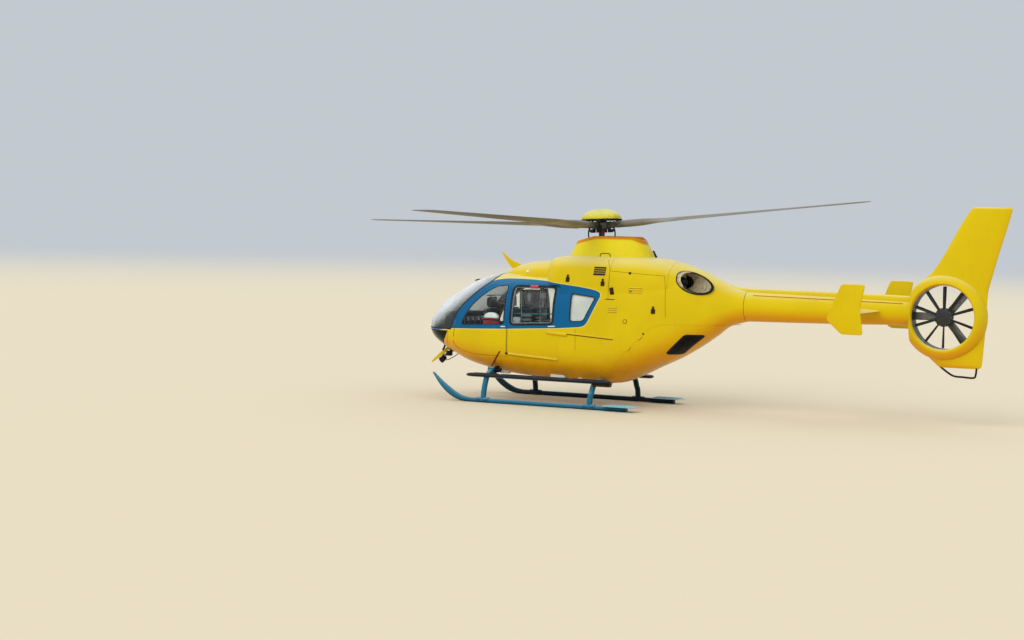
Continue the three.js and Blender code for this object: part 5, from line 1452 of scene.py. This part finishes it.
cutters = {
    "upper": [(1500, 2330), (1560, 2372), (1700, 2420), (1880, 2560), (1895, 2550), (1790, 2400),
              (1700, 2290), (1600, 2270)],
    "lower": [(2780, 900), (2810, 940), (2915, 858), (3098, 712), (3246, 572), (3226, 550),
              (3058, 672), (2885, 800)],
}
for name, outline in cutters.items():
    cutterBlade = softened(prism(rounded(outline, 14, 4), -9, 9, "y", yellowPaint), 3)
    teeth = [block(x - 5, x + 5, -5, 5, z - 5, z + 5, brightSteel, None, 2)
             for x, z in ([(1772, 2404), (1798, 2438), (1824, 2474)] if name == "upper"
                          else [(3010, 706), (3060, 670), (3110, 634)])]
    fit(name + "WireCutter", joined(carve(cutterBlade, pod), *teeth), "airframe",
        "wire_cutter_paint", name + "_wire_cutter")

# Cabin: glareshield and panel, seats, stretcher, rescue gear

panel = {"x": 2400, "screens": ((-300, 1330), (-110, 1330), (110, 1330), (300, 1330)), "screen": (165, 150)}
glareshield = block(panel["x"], 2760, -440, 440, 1090, 1490, blackPanel, None, 34)
within(glareshield, furnitureRoom)
stem = block(2440, 2540, -120, 120, floorTop, 1100, blackPanel, None, 8)
pedestal = block(1900, 2450, -95, 95, floorTop, 936, blackPanel, None, 12)
bezels, screens = [], []
for y, z in panel["screens"]:
    wide, tall = panel["screen"]
    bezels.append(block(panel["x"] - 8, panel["x"] + 6, y - wide / 2, y + wide / 2, z - tall / 2,
                        z + tall / 2, greyShell, None, 5))
    screens.append(block(panel["x"] - 11, panel["x"] - 6, y - wide / 2 + 14, y + wide / 2 - 14,
                         z - tall / 2 + 14, z + tall / 2 - 14, screenGlass, None, 2))
knobPlaces = [axes((0, 1, 0), (0, 0, 1), (-1, 0, 0), (panel["x"] - 1, y, z))
              for y in range(-360, 361, 60) for z in (1180, 1225)]
knobPlaces += [uprightPlace(x, y, 935) for x in range(1960, 2400, 70) for y in (-60, -20, 20, 60)]
knobs = scatter(lathe([(11, -2), (11, 8), (8, 15), (0, 16)], None, None, 10, True), knobPlaces, greyShell)
fit("instrumentConsole", joined(glareshield, stem, pedestal, knobs, *bezels, *screens), "airframe",
    "cabin_trim", "instrument_console")

pad = {"voxel": 16, "pressure": 4.0, "frames": 20, "cap": 22, "channel": 7, "channelHalf": 20}


def swell(thing):
    # the pad blown up as cloth under pressure, each point held to a small move
    cloth = thing.modifiers.new("swell", "CLOTH")
    cloth.settings.use_pressure, cloth.settings.uniform_pressure_force = True, pad["pressure"]
    cloth.settings.effector_weights.gravity = 0
    cloth.point_cache.frame_start, cloth.point_cache.frame_end = 1, pad["frames"]
    for step in range(1, pad["frames"] + 1):
        scene.frame_set(step)
    rest = np.array([v.co for v in thing.data.vertices])
    ready = thing.evaluated_get(bpy.context.evaluated_depsgraph_get())
    move = np.array([v.co for v in ready.data.vertices]) - rest
    size = np.linalg.norm(move, axis=1, keepdims=True)
    move *= np.minimum(1, pad["cap"] * mm / np.maximum(size, 1e-9))
    thing.modifiers.clear()
    thing.data.vertices.foreach_set("co", (rest + move).astype(np.float32).ravel())
    scene.frame_set(1)


def cushion(length, width, thick, crown, material, place, channels=()):
    # A crowned pad, flat underneath, with sewn channels across it at given shares of its length
    thing = block(-length / 2, length / 2, -width / 2, width / 2, 0, thick, None, None, thick * 0.45, True)
    even = thing.modifiers.new("even", "REMESH")
    even.mode, even.voxel_size = "VOXEL", pad["voxel"] * mm
    settle(thing)
    co = np.array([v.co for v in thing.data.vertices]) / mm
    upper = np.clip(co[:, 2] / thick, 0, 1) ** 2
    dome = np.clip(1 - (2 * co[:, 0] / length) ** 2, 0, 1) * np.clip(1 - (2 * co[:, 1] / width) ** 2, 0, 1)
    co[:, 2] += crown * upper * dome
    thing.data.vertices.foreach_set("co", (co * mm).astype(np.float32).ravel())
    swell(thing)
    co = np.array([v.co for v in thing.data.vertices]) / mm
    for share in channels:
        near = np.clip(1 - np.abs(co[:, 0] - share * length) / pad["channelHalf"], 0, 1) ** 2
        co[:, 2] -= pad["channel"] * near * upper
    co[:, 2] = np.maximum(co[:, 2], 0)
    thing.data.vertices.foreach_set("co", (co * mm).astype(np.float32).ravel())
    finer = thing.modifiers.new("finer", "SUBSURF")
    finer.levels = finer.render_levels = 1
    settle(thing)
    thing.data.materials.clear()
    thing.data.materials.append(material)
    thing.data.transform(placeMatrix(place))
    return smooth(thing, 180)


def leaning(start, end, y):
    # a place on a seat back between two (x, z) points: X climbs the back, Z faces forward
    way = np.array([end[0] - start[0], 0, end[1] - start[1]], float)
    way /= np.linalg.norm(way)
    out = np.array([way[2], 0, -way[0]])
    middle = ((start[0] + end[0]) / 2, y, (start[1] + end[1]) / 2)
    return axes(way, np.cross(out, way), out, middle)


def strap(place, reach, y, lift):
    # flat harness webbing, 45 mm wide, down the face of a seat back
    turn, origin = place
    places = [(turn, placed(place, [t, y, lift + 10 * math.sin((t / reach + 1) * math.pi / 2)])[0])
              for t in np.linspace(-reach, reach, 12)]
    return ribbon(places, 45, 2.5, 1, harnessWeb)


pilot = {"y": 380, "half": 195, "pan": (2092, 1052), "back": ((1908, 1064), (1890, 1570)),
         "head": ((1890, 1606), (1882, 1776))}
shellOutline = [(2270, 1012), (2288, 1030), (2284, 1056), (1908, 1050), (1892, 1560), (1872, 1584),
                (1830, 1580), (1806, 1550), (1776, 966), (1800, 948), (2180, 958)]
headOutline = [(1888, 1600), (1880, 1770), (1862, 1784), (1836, 1780), (1826, 1600)]
y, half = pilot["y"], pilot["half"]
seatShell = softened(prism(rounded(shellOutline, 26, 4), y - half, y + half, "y", blackPanel), 16)
seatFoot = block(1840, 2120, y - 140, y + 140, 742, 965, cabinLining, None, 12)
seatRails = [block(1790, 2190, y + s - 22, y + s + 22, floorTop, 744, castAluminium, None, 4)
             for s in (-150, 150)]
headShell = softened(prism(rounded(headOutline, 10, 3), y - 120, y + 120, "y", blackPanel), 8)
headPosts = [tube([(1852, y + s, 1560), (1852, y + s, 1640)], 8, brightSteel, 16) for s in (-60, 60)]
backPlace = leaning(*pilot["back"], y)
straps = [strap(backPlace, 240, s, 74) for s in (-80, 80)]
fitPair("pilotSeat", joined(seatShell, seatFoot, headShell, *headPosts, *seatRails, *straps), "airframe",
        "cabin_trim", "pilot_seat")
panPlace = uprightPlace(pilot["pan"][0], y, pilot["pan"][1], -3)
for name, args in (("seatPad", (320, 350, 56, 16, seatCloth, panPlace, (-0.1,))),
                   ("backPad", (480, 350, 48, 16, seatCloth, backPlace, (-0.2, 0.05, 0.3))),
                   ("headPad", (150, 215, 40, 10, seatCloth, leaning(*pilot["head"], y)))):
    for piece in fitPair(name, cushion(*args), "airframe", "cabin_trim"):
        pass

crewOutline = [(488, 1002), (502, 1018), (498, 1050), (124, 1044), (44, 1640), (-8, 1758), (-58, 1748),
               (-22, 964), (30, 948), (420, 958)]
crewShell = softened(prism(rounded(crewOutline, 24, 4), 192, 598, "y", blackPanel), 14)
crewFoot = block(80, 410, 250, 540, floorTop, 962, cabinLining, None, 14)
fit("attendantSeat", joined(crewShell, crewFoot), "airframe", "cabin_trim", "attendant_seat")
crewPan, crewBack = uprightPlace(312, 395, 1047, -3), leaning((122, 1056), (48, 1640), 395)
for name, args in (("attendantPad", (330, 350, 54, 16, seatCloth, crewPan, (0.0,))),
                   ("attendantBackPad", (540, 350, 48, 14, seatCloth, crewBack, (-0.2, 0.1)))):
    fit(name, cushion(*args), "airframe", "cabin_trim")

rails = [tube(spline([(-385, y, 1012), (450, y, 1012), (1285, y, 1012)], 4), 15, brightSteel)
         for y in (-584, -156)]
slats = [tube([(x, -584, 1012), (x, -156, 1012)], 11, brightSteel) for x in (-380, 60, 450, 860, 1280)]
legs = [tube(spline([(x, y, 1010), (x, y, 860), (x + s * 20, y, 712)], 4), 14, brightSteel)
        for x, s in ((-350, 1), (1230, -1)) for y in (-560, -180)]
feet = [block(x - 30, x + 30, -580, -160, floorTop, 718, castAluminium, None, 4) for x in (-345, 1225)]
fit("stretcherFrame", joined(*rails, *slats, *legs, *feet), "airframe", "cabin_trim", "stretcher")
mattress = cushion(1610, 380, 46, 10, matCover, uprightPlace(450, -370, 1027), (-0.2, 0.15))
fit("stretcherMattress", mattress, "airframe", "cabin_trim")

# Rescue gear behind the glass: monitors on a shelf, a drip pole, a bottle, a case, teal rails and a pack
monitor = block(1190, 1440, -420, -250, 1400, 1610, greyShell, None, 18)
monitorFace = block(1215, 1415, -252, -246, 1440, 1580, screenGlass, None, 4)
pump = block(1470, 1600, -470, -300, 1380, 1560, whiteShell, None, 14)
shelf = block(1150, 1640, -560, -230, 1352, 1378, castAluminium, None, 5)
shelfLegs = [tube([(x, -540, 702), (x, -540, 1360)], 14, castAluminium) for x in (1330, 1620)]
caseBox = block(1540, 1690, -240, -70, 1130, 1420, whiteShell, None, 12)
caseFoot = block(1560, 1670, -220, -90, floorTop, 1132, cabinLining, None, 8)
dripPole = tube(spline([(1330, -500, 1370), (1330, -500, 1700), (1330, -500, 1930), (1310, -470, 1962),
                        (1280, -430, 1950)], 5), 11, whiteShell)
bottle = lathe([(0, 0), (48, 4), (58, 20), (58, 470), (50, 510), (26, 545), (18, 560), (18, 600), (0, 602)],
               whiteShell, uprightPlace(1560, -650, 1130))
bottleShelf = block(1480, 1640, -700, -540, 1112, 1131, castAluminium, None, 4)
fit("cabinEquipment", joined(monitor, monitorFace, pump, shelf, *shelfLegs, caseBox, caseFoot, dripPole,
                             bottle, bottleShelf), "airframe", "cabin_trim")
cabinet = {"x": (1336, 1610), "y": (-628, -165), "z": (floorTop, 1900), "shelves": (980, 1200, 1420, 1650)}
x0, x1, y0, y1, z0, z1 = *cabinet["x"], *cabinet["y"], *cabinet["z"]
carcase = block(x0, x1, y0, y1, z0, z1, blackPanel, None, 10)
for low, high in zip((z0 + 30,) + cabinet["shelves"], cabinet["shelves"] + (z1 - 20,)):
    for sides in ((x0 + 22, x1 - 22, y1 - 260, y1 + 60), (x0 - 60, x0 + 180, y0 + 24, y1 - 284)):
        carve(carcase, toolBlock(*sides, low + 14, high - 6, material=cabinLining))
stowed = []
for k, low in enumerate((z0 + 30,) + cabinet["shelves"]):
    stowed.append(block(x0 + 40, x1 - 60 - 20 * (k % 3), y1 - 240, y1 - 12 - 9 * (k % 2), low + 14.2,
                        low + 150 + 18 * (k % 3), oliveCloth, None, 26))
    stowed.append(block(x0 + 6, x0 + 150, y0 + 40 + 12 * k, y1 - 300, low + 14.2, low + 140 + 14 * (k % 2),
                        greyShell if k == 2 else oliveCloth, None, 18))
whiteBox = block(1098, 1184, y1 + 2, y1 + 46, 1774, 1862, whiteShell, None, 10)
boxArm = tube([(1140, y1 + 24, 1590), (1140, y1 + 24, 1780)], 8, whiteShell, 12)
drawers = [block(1362, 1560, y1 - 4, y1 + 6, z - 22, z + 22, greyShell, None, 6) for z in (1455, 1382)]
tubes = [tube(spline([(x, y1 + 14, top), (x + 4, y1 + 20, 1700), (x - 6, y1 + 16, 1480),
                      (x + 10, y1 + 18, 1300)], 6), 6, whiteShell, 12)
         for x, top in ((1560, 1885), (1196, 1905))]
drip = lathe([(0, -80), (14, -78), (30, -60), (34, 10), (28, 60), (8, 74), (0, 76)], whiteShell,
             uprightPlace(1400, y1 + 34, 1780), 24)
within(carcase, furnitureRoom)
fit("medicalCabinet", joined(carcase, *stowed, *tubes, drip, *drawers, whiteBox, boxArm), "airframe",
    "cabin_trim")
tealBars = [tube(spline(points, 4), 11, tealRail)
            for points in ([(2379, -400, 1766), (2180, -400, 1778), (1978, -400, 1791)],
                           [(1678, -130, 1560), (1400, -130, 1578), (1038, -130, 1605)],
                           [(1678, -130, 1560), (1680, -150, 1300), (1682, -150, 1100)],
                           [(2373, -400, 1500), (2100, -400, 1515), (1977, -400, 1530)],
                           [(2348, -500, 1773), (2345, -500, 1500), (2340, -500, 1253)],
                           [(1310, 640, 1520), (900, 645, 1532), (540, 645, 1545)])]
fit("tealRails", joined(*tealBars), "airframe", "cabin_trim")


def packRing(z, long, wide):
    _, c, s = around(36)
    x, y = 1745 + long * squared(c, 0.6), 628 + wide * squared(s, 0.6)
    return np.column_stack([x, y, np.full(36, z)])


packRows = filled([(1228, 110, 34), (1256, 138, 46), (1330, 150, 50), (1400, 148, 49), (1436, 138, 45),
                   (1452, 110, 36)], 3)
pack = loft([packRing(*row) for row in packRows], redCloth)
topRows = [(1432, 140, 46), (1438, 146, 49), (1480, 126, 43), (1508, 92, 33), (1522, 44, 18)]
packTop = loft([packRing(*row) for row in topRows], whiteShell)
strapRows = [(0, 146, 49), (3, 154, 54), (30, 154, 54), (33, 146, 49)]
packStraps = [loft([packRing(low + z, long, wide) for z, long, wide in strapRows], blackRubber)
              for low in (1280, 1380)]
packHook = block(1790, 1830, 560, 600, 1290, 1400, blackSteel, None, 6)
fit("rescuePack", joined(pack, packTop, *packStraps, packHook), "airframe", "cabin_trim")
print("cabin fitted")

# Panel seams, and rivets along them

seamLines = {
    "cowlFront": [(-374, 2495), (-440, 2400), (-470, 2319), (-479, 2130), (-470, 1941), (-479, 1829)],
    "cowlRear": [(-1394, 2264), (-1433, 2029), (-1466, 1570)],
    "cowlTop": [(-475, 2314), (-743, 2298), (-1085, 2276), (-1391, 2259)],
    "cowlLower": [(-2215, 1470), (-2420, 1476), (-2580, 1482)],
    "nose": [(2578, 1163), (2600, 1000), (2640, 900)],
    "midPanel": [(89, 1302), (79, 965)],
}
seams = [skinStrip(path, 7, 0.8, seamSealant, 2) for path in seamLines.values()]
fitBoth("panelSeams", "cabin_trim", *seams)
rivetLines = {"cowlFront": ((-500, 2290), (-502, 1850)), "cowlFrontAhead": ((-448, 2290), (-450, 1850)),
              "cowlRear": ((-1410, 2230), (-1440, 1600)), "cowlTop": ((-520, 2286), (-1370, 2235)),
              "boomAft": ((podEnd + 30, 2010), (podEnd + 30, 1580)), "belly": ((1200, 700), (-300, 700)),
              "nose": ((2548, 1150), (2600, 920)), "deckLine": ((-1500, 1500), (-2250, 1500))}
rivets = [spot for line in rivetLines.values() for spot in alongSkin(line, 42)]
fitBoth("rivets", "yellow_paint", scatter(rivetHead(), rivets, yellowPaint))


def boomPlace(x, z):
    # a place on the boom's port side
    bottom, top, half, wide, lowPower, upPower = (float(v) for v in boomShape(x))
    rise = min(0.999, abs(z - wide) / ((top - wide) if z > wide else (wide - bottom)))
    y = half * math.sqrt(1 - rise ** 2)
    out = np.array([0, y / half ** 2, (z - wide) / (top - wide) ** 2])
    out /= np.linalg.norm(out)
    return axes((1, 0, 0), np.cross(out, (1, 0, 0)), out, (x, y, z))


boomRivets = [boomPlace(x, z) for x in (podEnd - 34, -5440) for z in range(1590, 2010, 34)]
boomRivets += [boomPlace(x, 1990) for x in range(-5400, -2760, 60)]
# painted shadow: a raised ochre strip along the boom, standing for the shade line under the shaft cover
boomShadowLine = ribbon([boomPlace(x, 1984 + (x - podEnd) * 0.012) for x in range(-5360, -2780, 60)],
                  20, 5, 1, shadowLinePaint)
fitBoth("boomConduits", "cabin_trim", boomShadowLine)
fitBoth("boomRivets", "yellow_paint", scatter(rivetHead(), boomRivets, yellowPaint))

# Louvres: short half-round hoods over black bars, which are painted shade standing for the dark inside the
# slots


def slat(length, height, proud):
    # a bare half-ellipsoid bar: X along it, Y up, Z out of the skin
    angle = np.linspace(0, math.pi, 9)
    rings = []
    for t in np.linspace(-0.97, 0.97, 15):
        size = (1 - t ** 4) ** 0.5
        arch = np.column_stack([np.full(9, t * length / 2), height / 2 * np.cos(angle) * size,
                                proud * np.sin(angle) * size])
        low = [(t * length / 2, -height / 2 * size, -6), (t * length / 2, height / 2 * size, -6)]
        rings.append(np.array(list(arch) + low))
    return loft(rings, bare=True)


def louvre(x, z, length, pitch, slots, slotHeight, hoodHeight, hoodPaint):
    rows = [z + (k - (slots - 1) / 2) * pitch for k in range(slots)]
    dark = scatter(slat(length, slotHeight, 2.5), [skinPlace(x, row) for row in rows], blackRubber)
    hoods = scatter(slat(length * 1.04, hoodHeight, 9),
                    [skinPlace(x, row + slotHeight / 2 + 2) for row in rows], hoodPaint)
    return [dark, hoods]


# painted shade: a black strip behind the grille's slats stands for the dark inside it
grille = [skinStrip([(-178, 2305), (-392, 2305)], 150, 2, blackRubber, 4)]
grille += [skinStrip([(-184, z), (-386, z)], 11, 9, yellowPaint) for z in (2270, 2305, 2340)]
grille += louvre(-565, 1662, 170, 34, 3, 9, 17, yellowPaint)
grille += louvre(-940, 2000, 240, 38, 3, 9, 18, yellowPaint)
fitBoth("louvres", "cabin_trim", *grille)

# Latches, caps and handles on the skin


def onSkin(x, z, thing):
    # a bare local shape set on the port skin
    thing.data.transform(placeMatrix(skinPlace(x, z)))
    return thing


latchShape = joined(block(-36, 36, -22, 58, -4, 8, None, None, 12, True),
                    block(-17, 17, -66, 20, 0, 15, None, None, 6, True))
latchPlaces = [skinPlace(-361, 2113), skinPlace(-1260, 1684), skinPlace(293, 2160)]
latches = scatter(latchShape, latchPlaces, bronzeLatch)
bigLatch = joined(block(-36, 36, -60, 60, -4, 11, bronzeLatch, None, 14, True),
                  block(-26, 8, -46, 50, 9, 18, bronzeLatch, None, 6, True))
bigLatch.data.transform(Matrix.Rotation(math.radians(12), 4, "Z"))
caps = [onSkin(x, z, lathe([(0, -4), (size, -4), (size, 2), (size - 4, 4), (0, 4)], paint, None, 32, True))
        for x, z, size, paint in ((-864, 1974, 20, blackRubber), (-825, 2287, 24, bronzeLatch),
                                  (-1113, 1290, 16, bronzeLatch))]
fuelRing = onSkin(-798, 1482, lathe([(0, -4), (38, -4), (38, 2), (32, 3), (0, 3)],
                                    seamSealant, None, 40, True))
fuelCap = onSkin(-798, 1482, lathe([(0, -4), (27, -4), (27, 5), (22, 7), (0, 7)],
                                   yellowPaint, None, 40, True))
dash = skinStrip([(-428, 1841), (-596, 1841)], 12, 4, blackRubber)
stripLatch = skinStrip([(1400, 842), (1340, 838)], 34, 9, bronzeLatch)
fitBoth("skinFittings", "engine_metal", latches, onSkin(-533, 1980, bigLatch), *caps, fuelRing,
        fuelCap, dash, stripLatch)

railCover = skinStrip([(616, 1238), (235, 1213)], 60, 26, yellowPaint)
railBar = skinStrip([(240, 1240), (-593, 1186)], 24, 13, yellowPaint)
railSlot = skinStrip([(240, 1222), (-593, 1168)], 12, 4, blackRubber)
lowerStrip = skinStrip([(1345, 837), (1117, 823), (739, 800), (412, 779)], 38, 22, yellowPaint)
doorSeam = skinStrip([(1370, 1262), (1370, 812)], 9, 1.5, blackRubber, 8)
fitBoth("doorRails", "yellow_paint", railCover, railBar, railSlot, lowerStrip, doorSeam)
frontHandle = skinStrip([(1490, 1296), (1404, 1300)], 20, 14, whiteShell)
fitPair("frontDoorHandle", frontHandle, "front_door", "engine_metal")
slidingHandle = skinStrip([(594, 1338), (463, 1344)], 20, 14, whiteShell)
fitBoth("slidingDoorHandle", "engine_metal", slidingHandle)

lamp = skinStrip([(1008, 1988), (935, 1991), (862, 1993)], 62, 26, redLens)
label = skinStrip([(852, 1995), (684, 2001)], 24, 2, whiteShell)
topLamp = lathe([(0, -8), (30, -8), (30, 10), (24, 24), (12, 30), (0, 31)], paleLens,
                uprightPlace(1187, 388, 2236), 32)
fitBoth("sideLamps", "cabin_trim", lamp, label, topLamp)

handle = tube(spline([(-153, 371, 2530), (-156, 366, 2570), (-168, 352, 2592), (-230, 350, 2596),
                      (-296, 350, 2598), (-330, 358, 2580), (-346, 369, 2536)], 6), 7, bronzeLatch)
fitBoth("grabHandles", "engine_metal", handle)
aerialFin = softened(prism(rounded([(-1010, 2545), (-1052, 2545), (-985, 2664), (-955, 2658)], 8, 3),
                           -5, 5, "y", blackRubber), 2)
bellyAerial = softened(prism(rounded([(-180, 420), (-290, 420), (-262, 330), (-222, 330)], 10, 4),
                             -6, 6, "y", blackRubber), 3)
fit("aerials", joined(aerialFin, bellyAerial), "airframe", "fan_black")
bellyBoxes = [block(365, 630, 500, 566, 462, 527, whiteShell, None, 8)]
bellyBoxes += [block(x0, x1, y0, y1, z0, z1, whiteShell, None, 10)
               for x0, x1, y0, y1, z0, z1 in ((1475, 1651, 380, 450, 470, 548),
                                              (50, 126, 470, 530, 456, 500))]
fitBoth("bellyBoxes", "cabin_trim", *bellyBoxes)

# Search light under the nose, tilted down on a short arm; air probe on the centre post
tilt = math.radians(38)
tiltCos, tiltSin = math.cos(tilt), math.sin(tilt)
lampPlace = axes((-tiltSin, 0, -tiltCos), (0, 1, 0), (tiltCos, 0, -tiltSin), (2975, 70, 632))
lampBody = lathe([(0, -64), (26, -64), (44, -50), (50, -8), (56, 50), (52, 54),
                  (0, 50)], blackSteel, lampPlace)
lampFace = lathe([(0, 48), (50, 53), (44, 60), (20, 64), (0, 65)], paleLens, lampPlace)
yoke = tube(spline([(2975, 132, 632), (2950, 134, 690), (2900, 110, 724), (2880, 70, 732), (2900, 30, 724),
                    (2950, 14, 690), (2975, 12, 632)], 6), 10, blackSteel)
gimbal = block(2800, 2900, 30, 116, 690, 776, blackSteel, None, 20)
arm = tube(spline([(2882, 70, 730), (2840, 70, 752), (2790, 70, 830)], 6), 22, blackSteel)
cable = tube(spline([(2900, 84, 612), (2843, 88, 630), (2740, 90, 684),
                     (2660, 92, 740)], 6), 7, blackRubber, 12)
mount = block(2730, 2830, 24, 120, 770, 850, blackSteel, None, 14)
glassVent = tube(spline([(2935, 60, 896), (2960, 62, 840), (2990, 62, 782)], 4), 17, blackSteel, 16)
fit("searchLight", joined(lampBody, lampFace, yoke, gimbal, arm, cable, mount, glassVent),
    "airframe", "engine_metal")
probe = softened(prism(rounded([(2412, 2030), (2400, 2048), (2345, 2066), (2296, 2070), (2290, 2052),
                                (2350, 2040)], 8, 4), -16, 16, "y", blackSteel), 6)
probePost = tube([(2335, 0, 2000), (2335, 0, 2050)], 12, blackSteel, 16)
fit("airProbe", joined(probe, probePost), "airframe", "engine_metal")

wider = [(x if x > -2200 else x - 15, z) for x, z in outlines["clamshell"]]  # the wide aft seam
gasket = within(copyOf(jambShell), sidePrism(wider, skin["gap"] - 0.8, 7))
carve(gasket, sidePrism(outlines["clamshell"], 0.5, -far))
markBand(gasket)
fitPair("clamGasket", gasket, "clamshell", "yellow_paint")
print("fittings on the skin")

for thing in tools:
    drop(thing)

for names, material in ((("main_gearbox",), castAluminium), (("left_engine", "right_engine"), heatedSteel),
                        (("cabin_floor",), floorRubber)):
    for name in names:
        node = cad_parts[name]
        node.data.materials.clear()
        node.data.materials.append(material)

low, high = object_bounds()
{"cad": [list(v) for v in cadBox], "visual": [list(low), list(high)]}
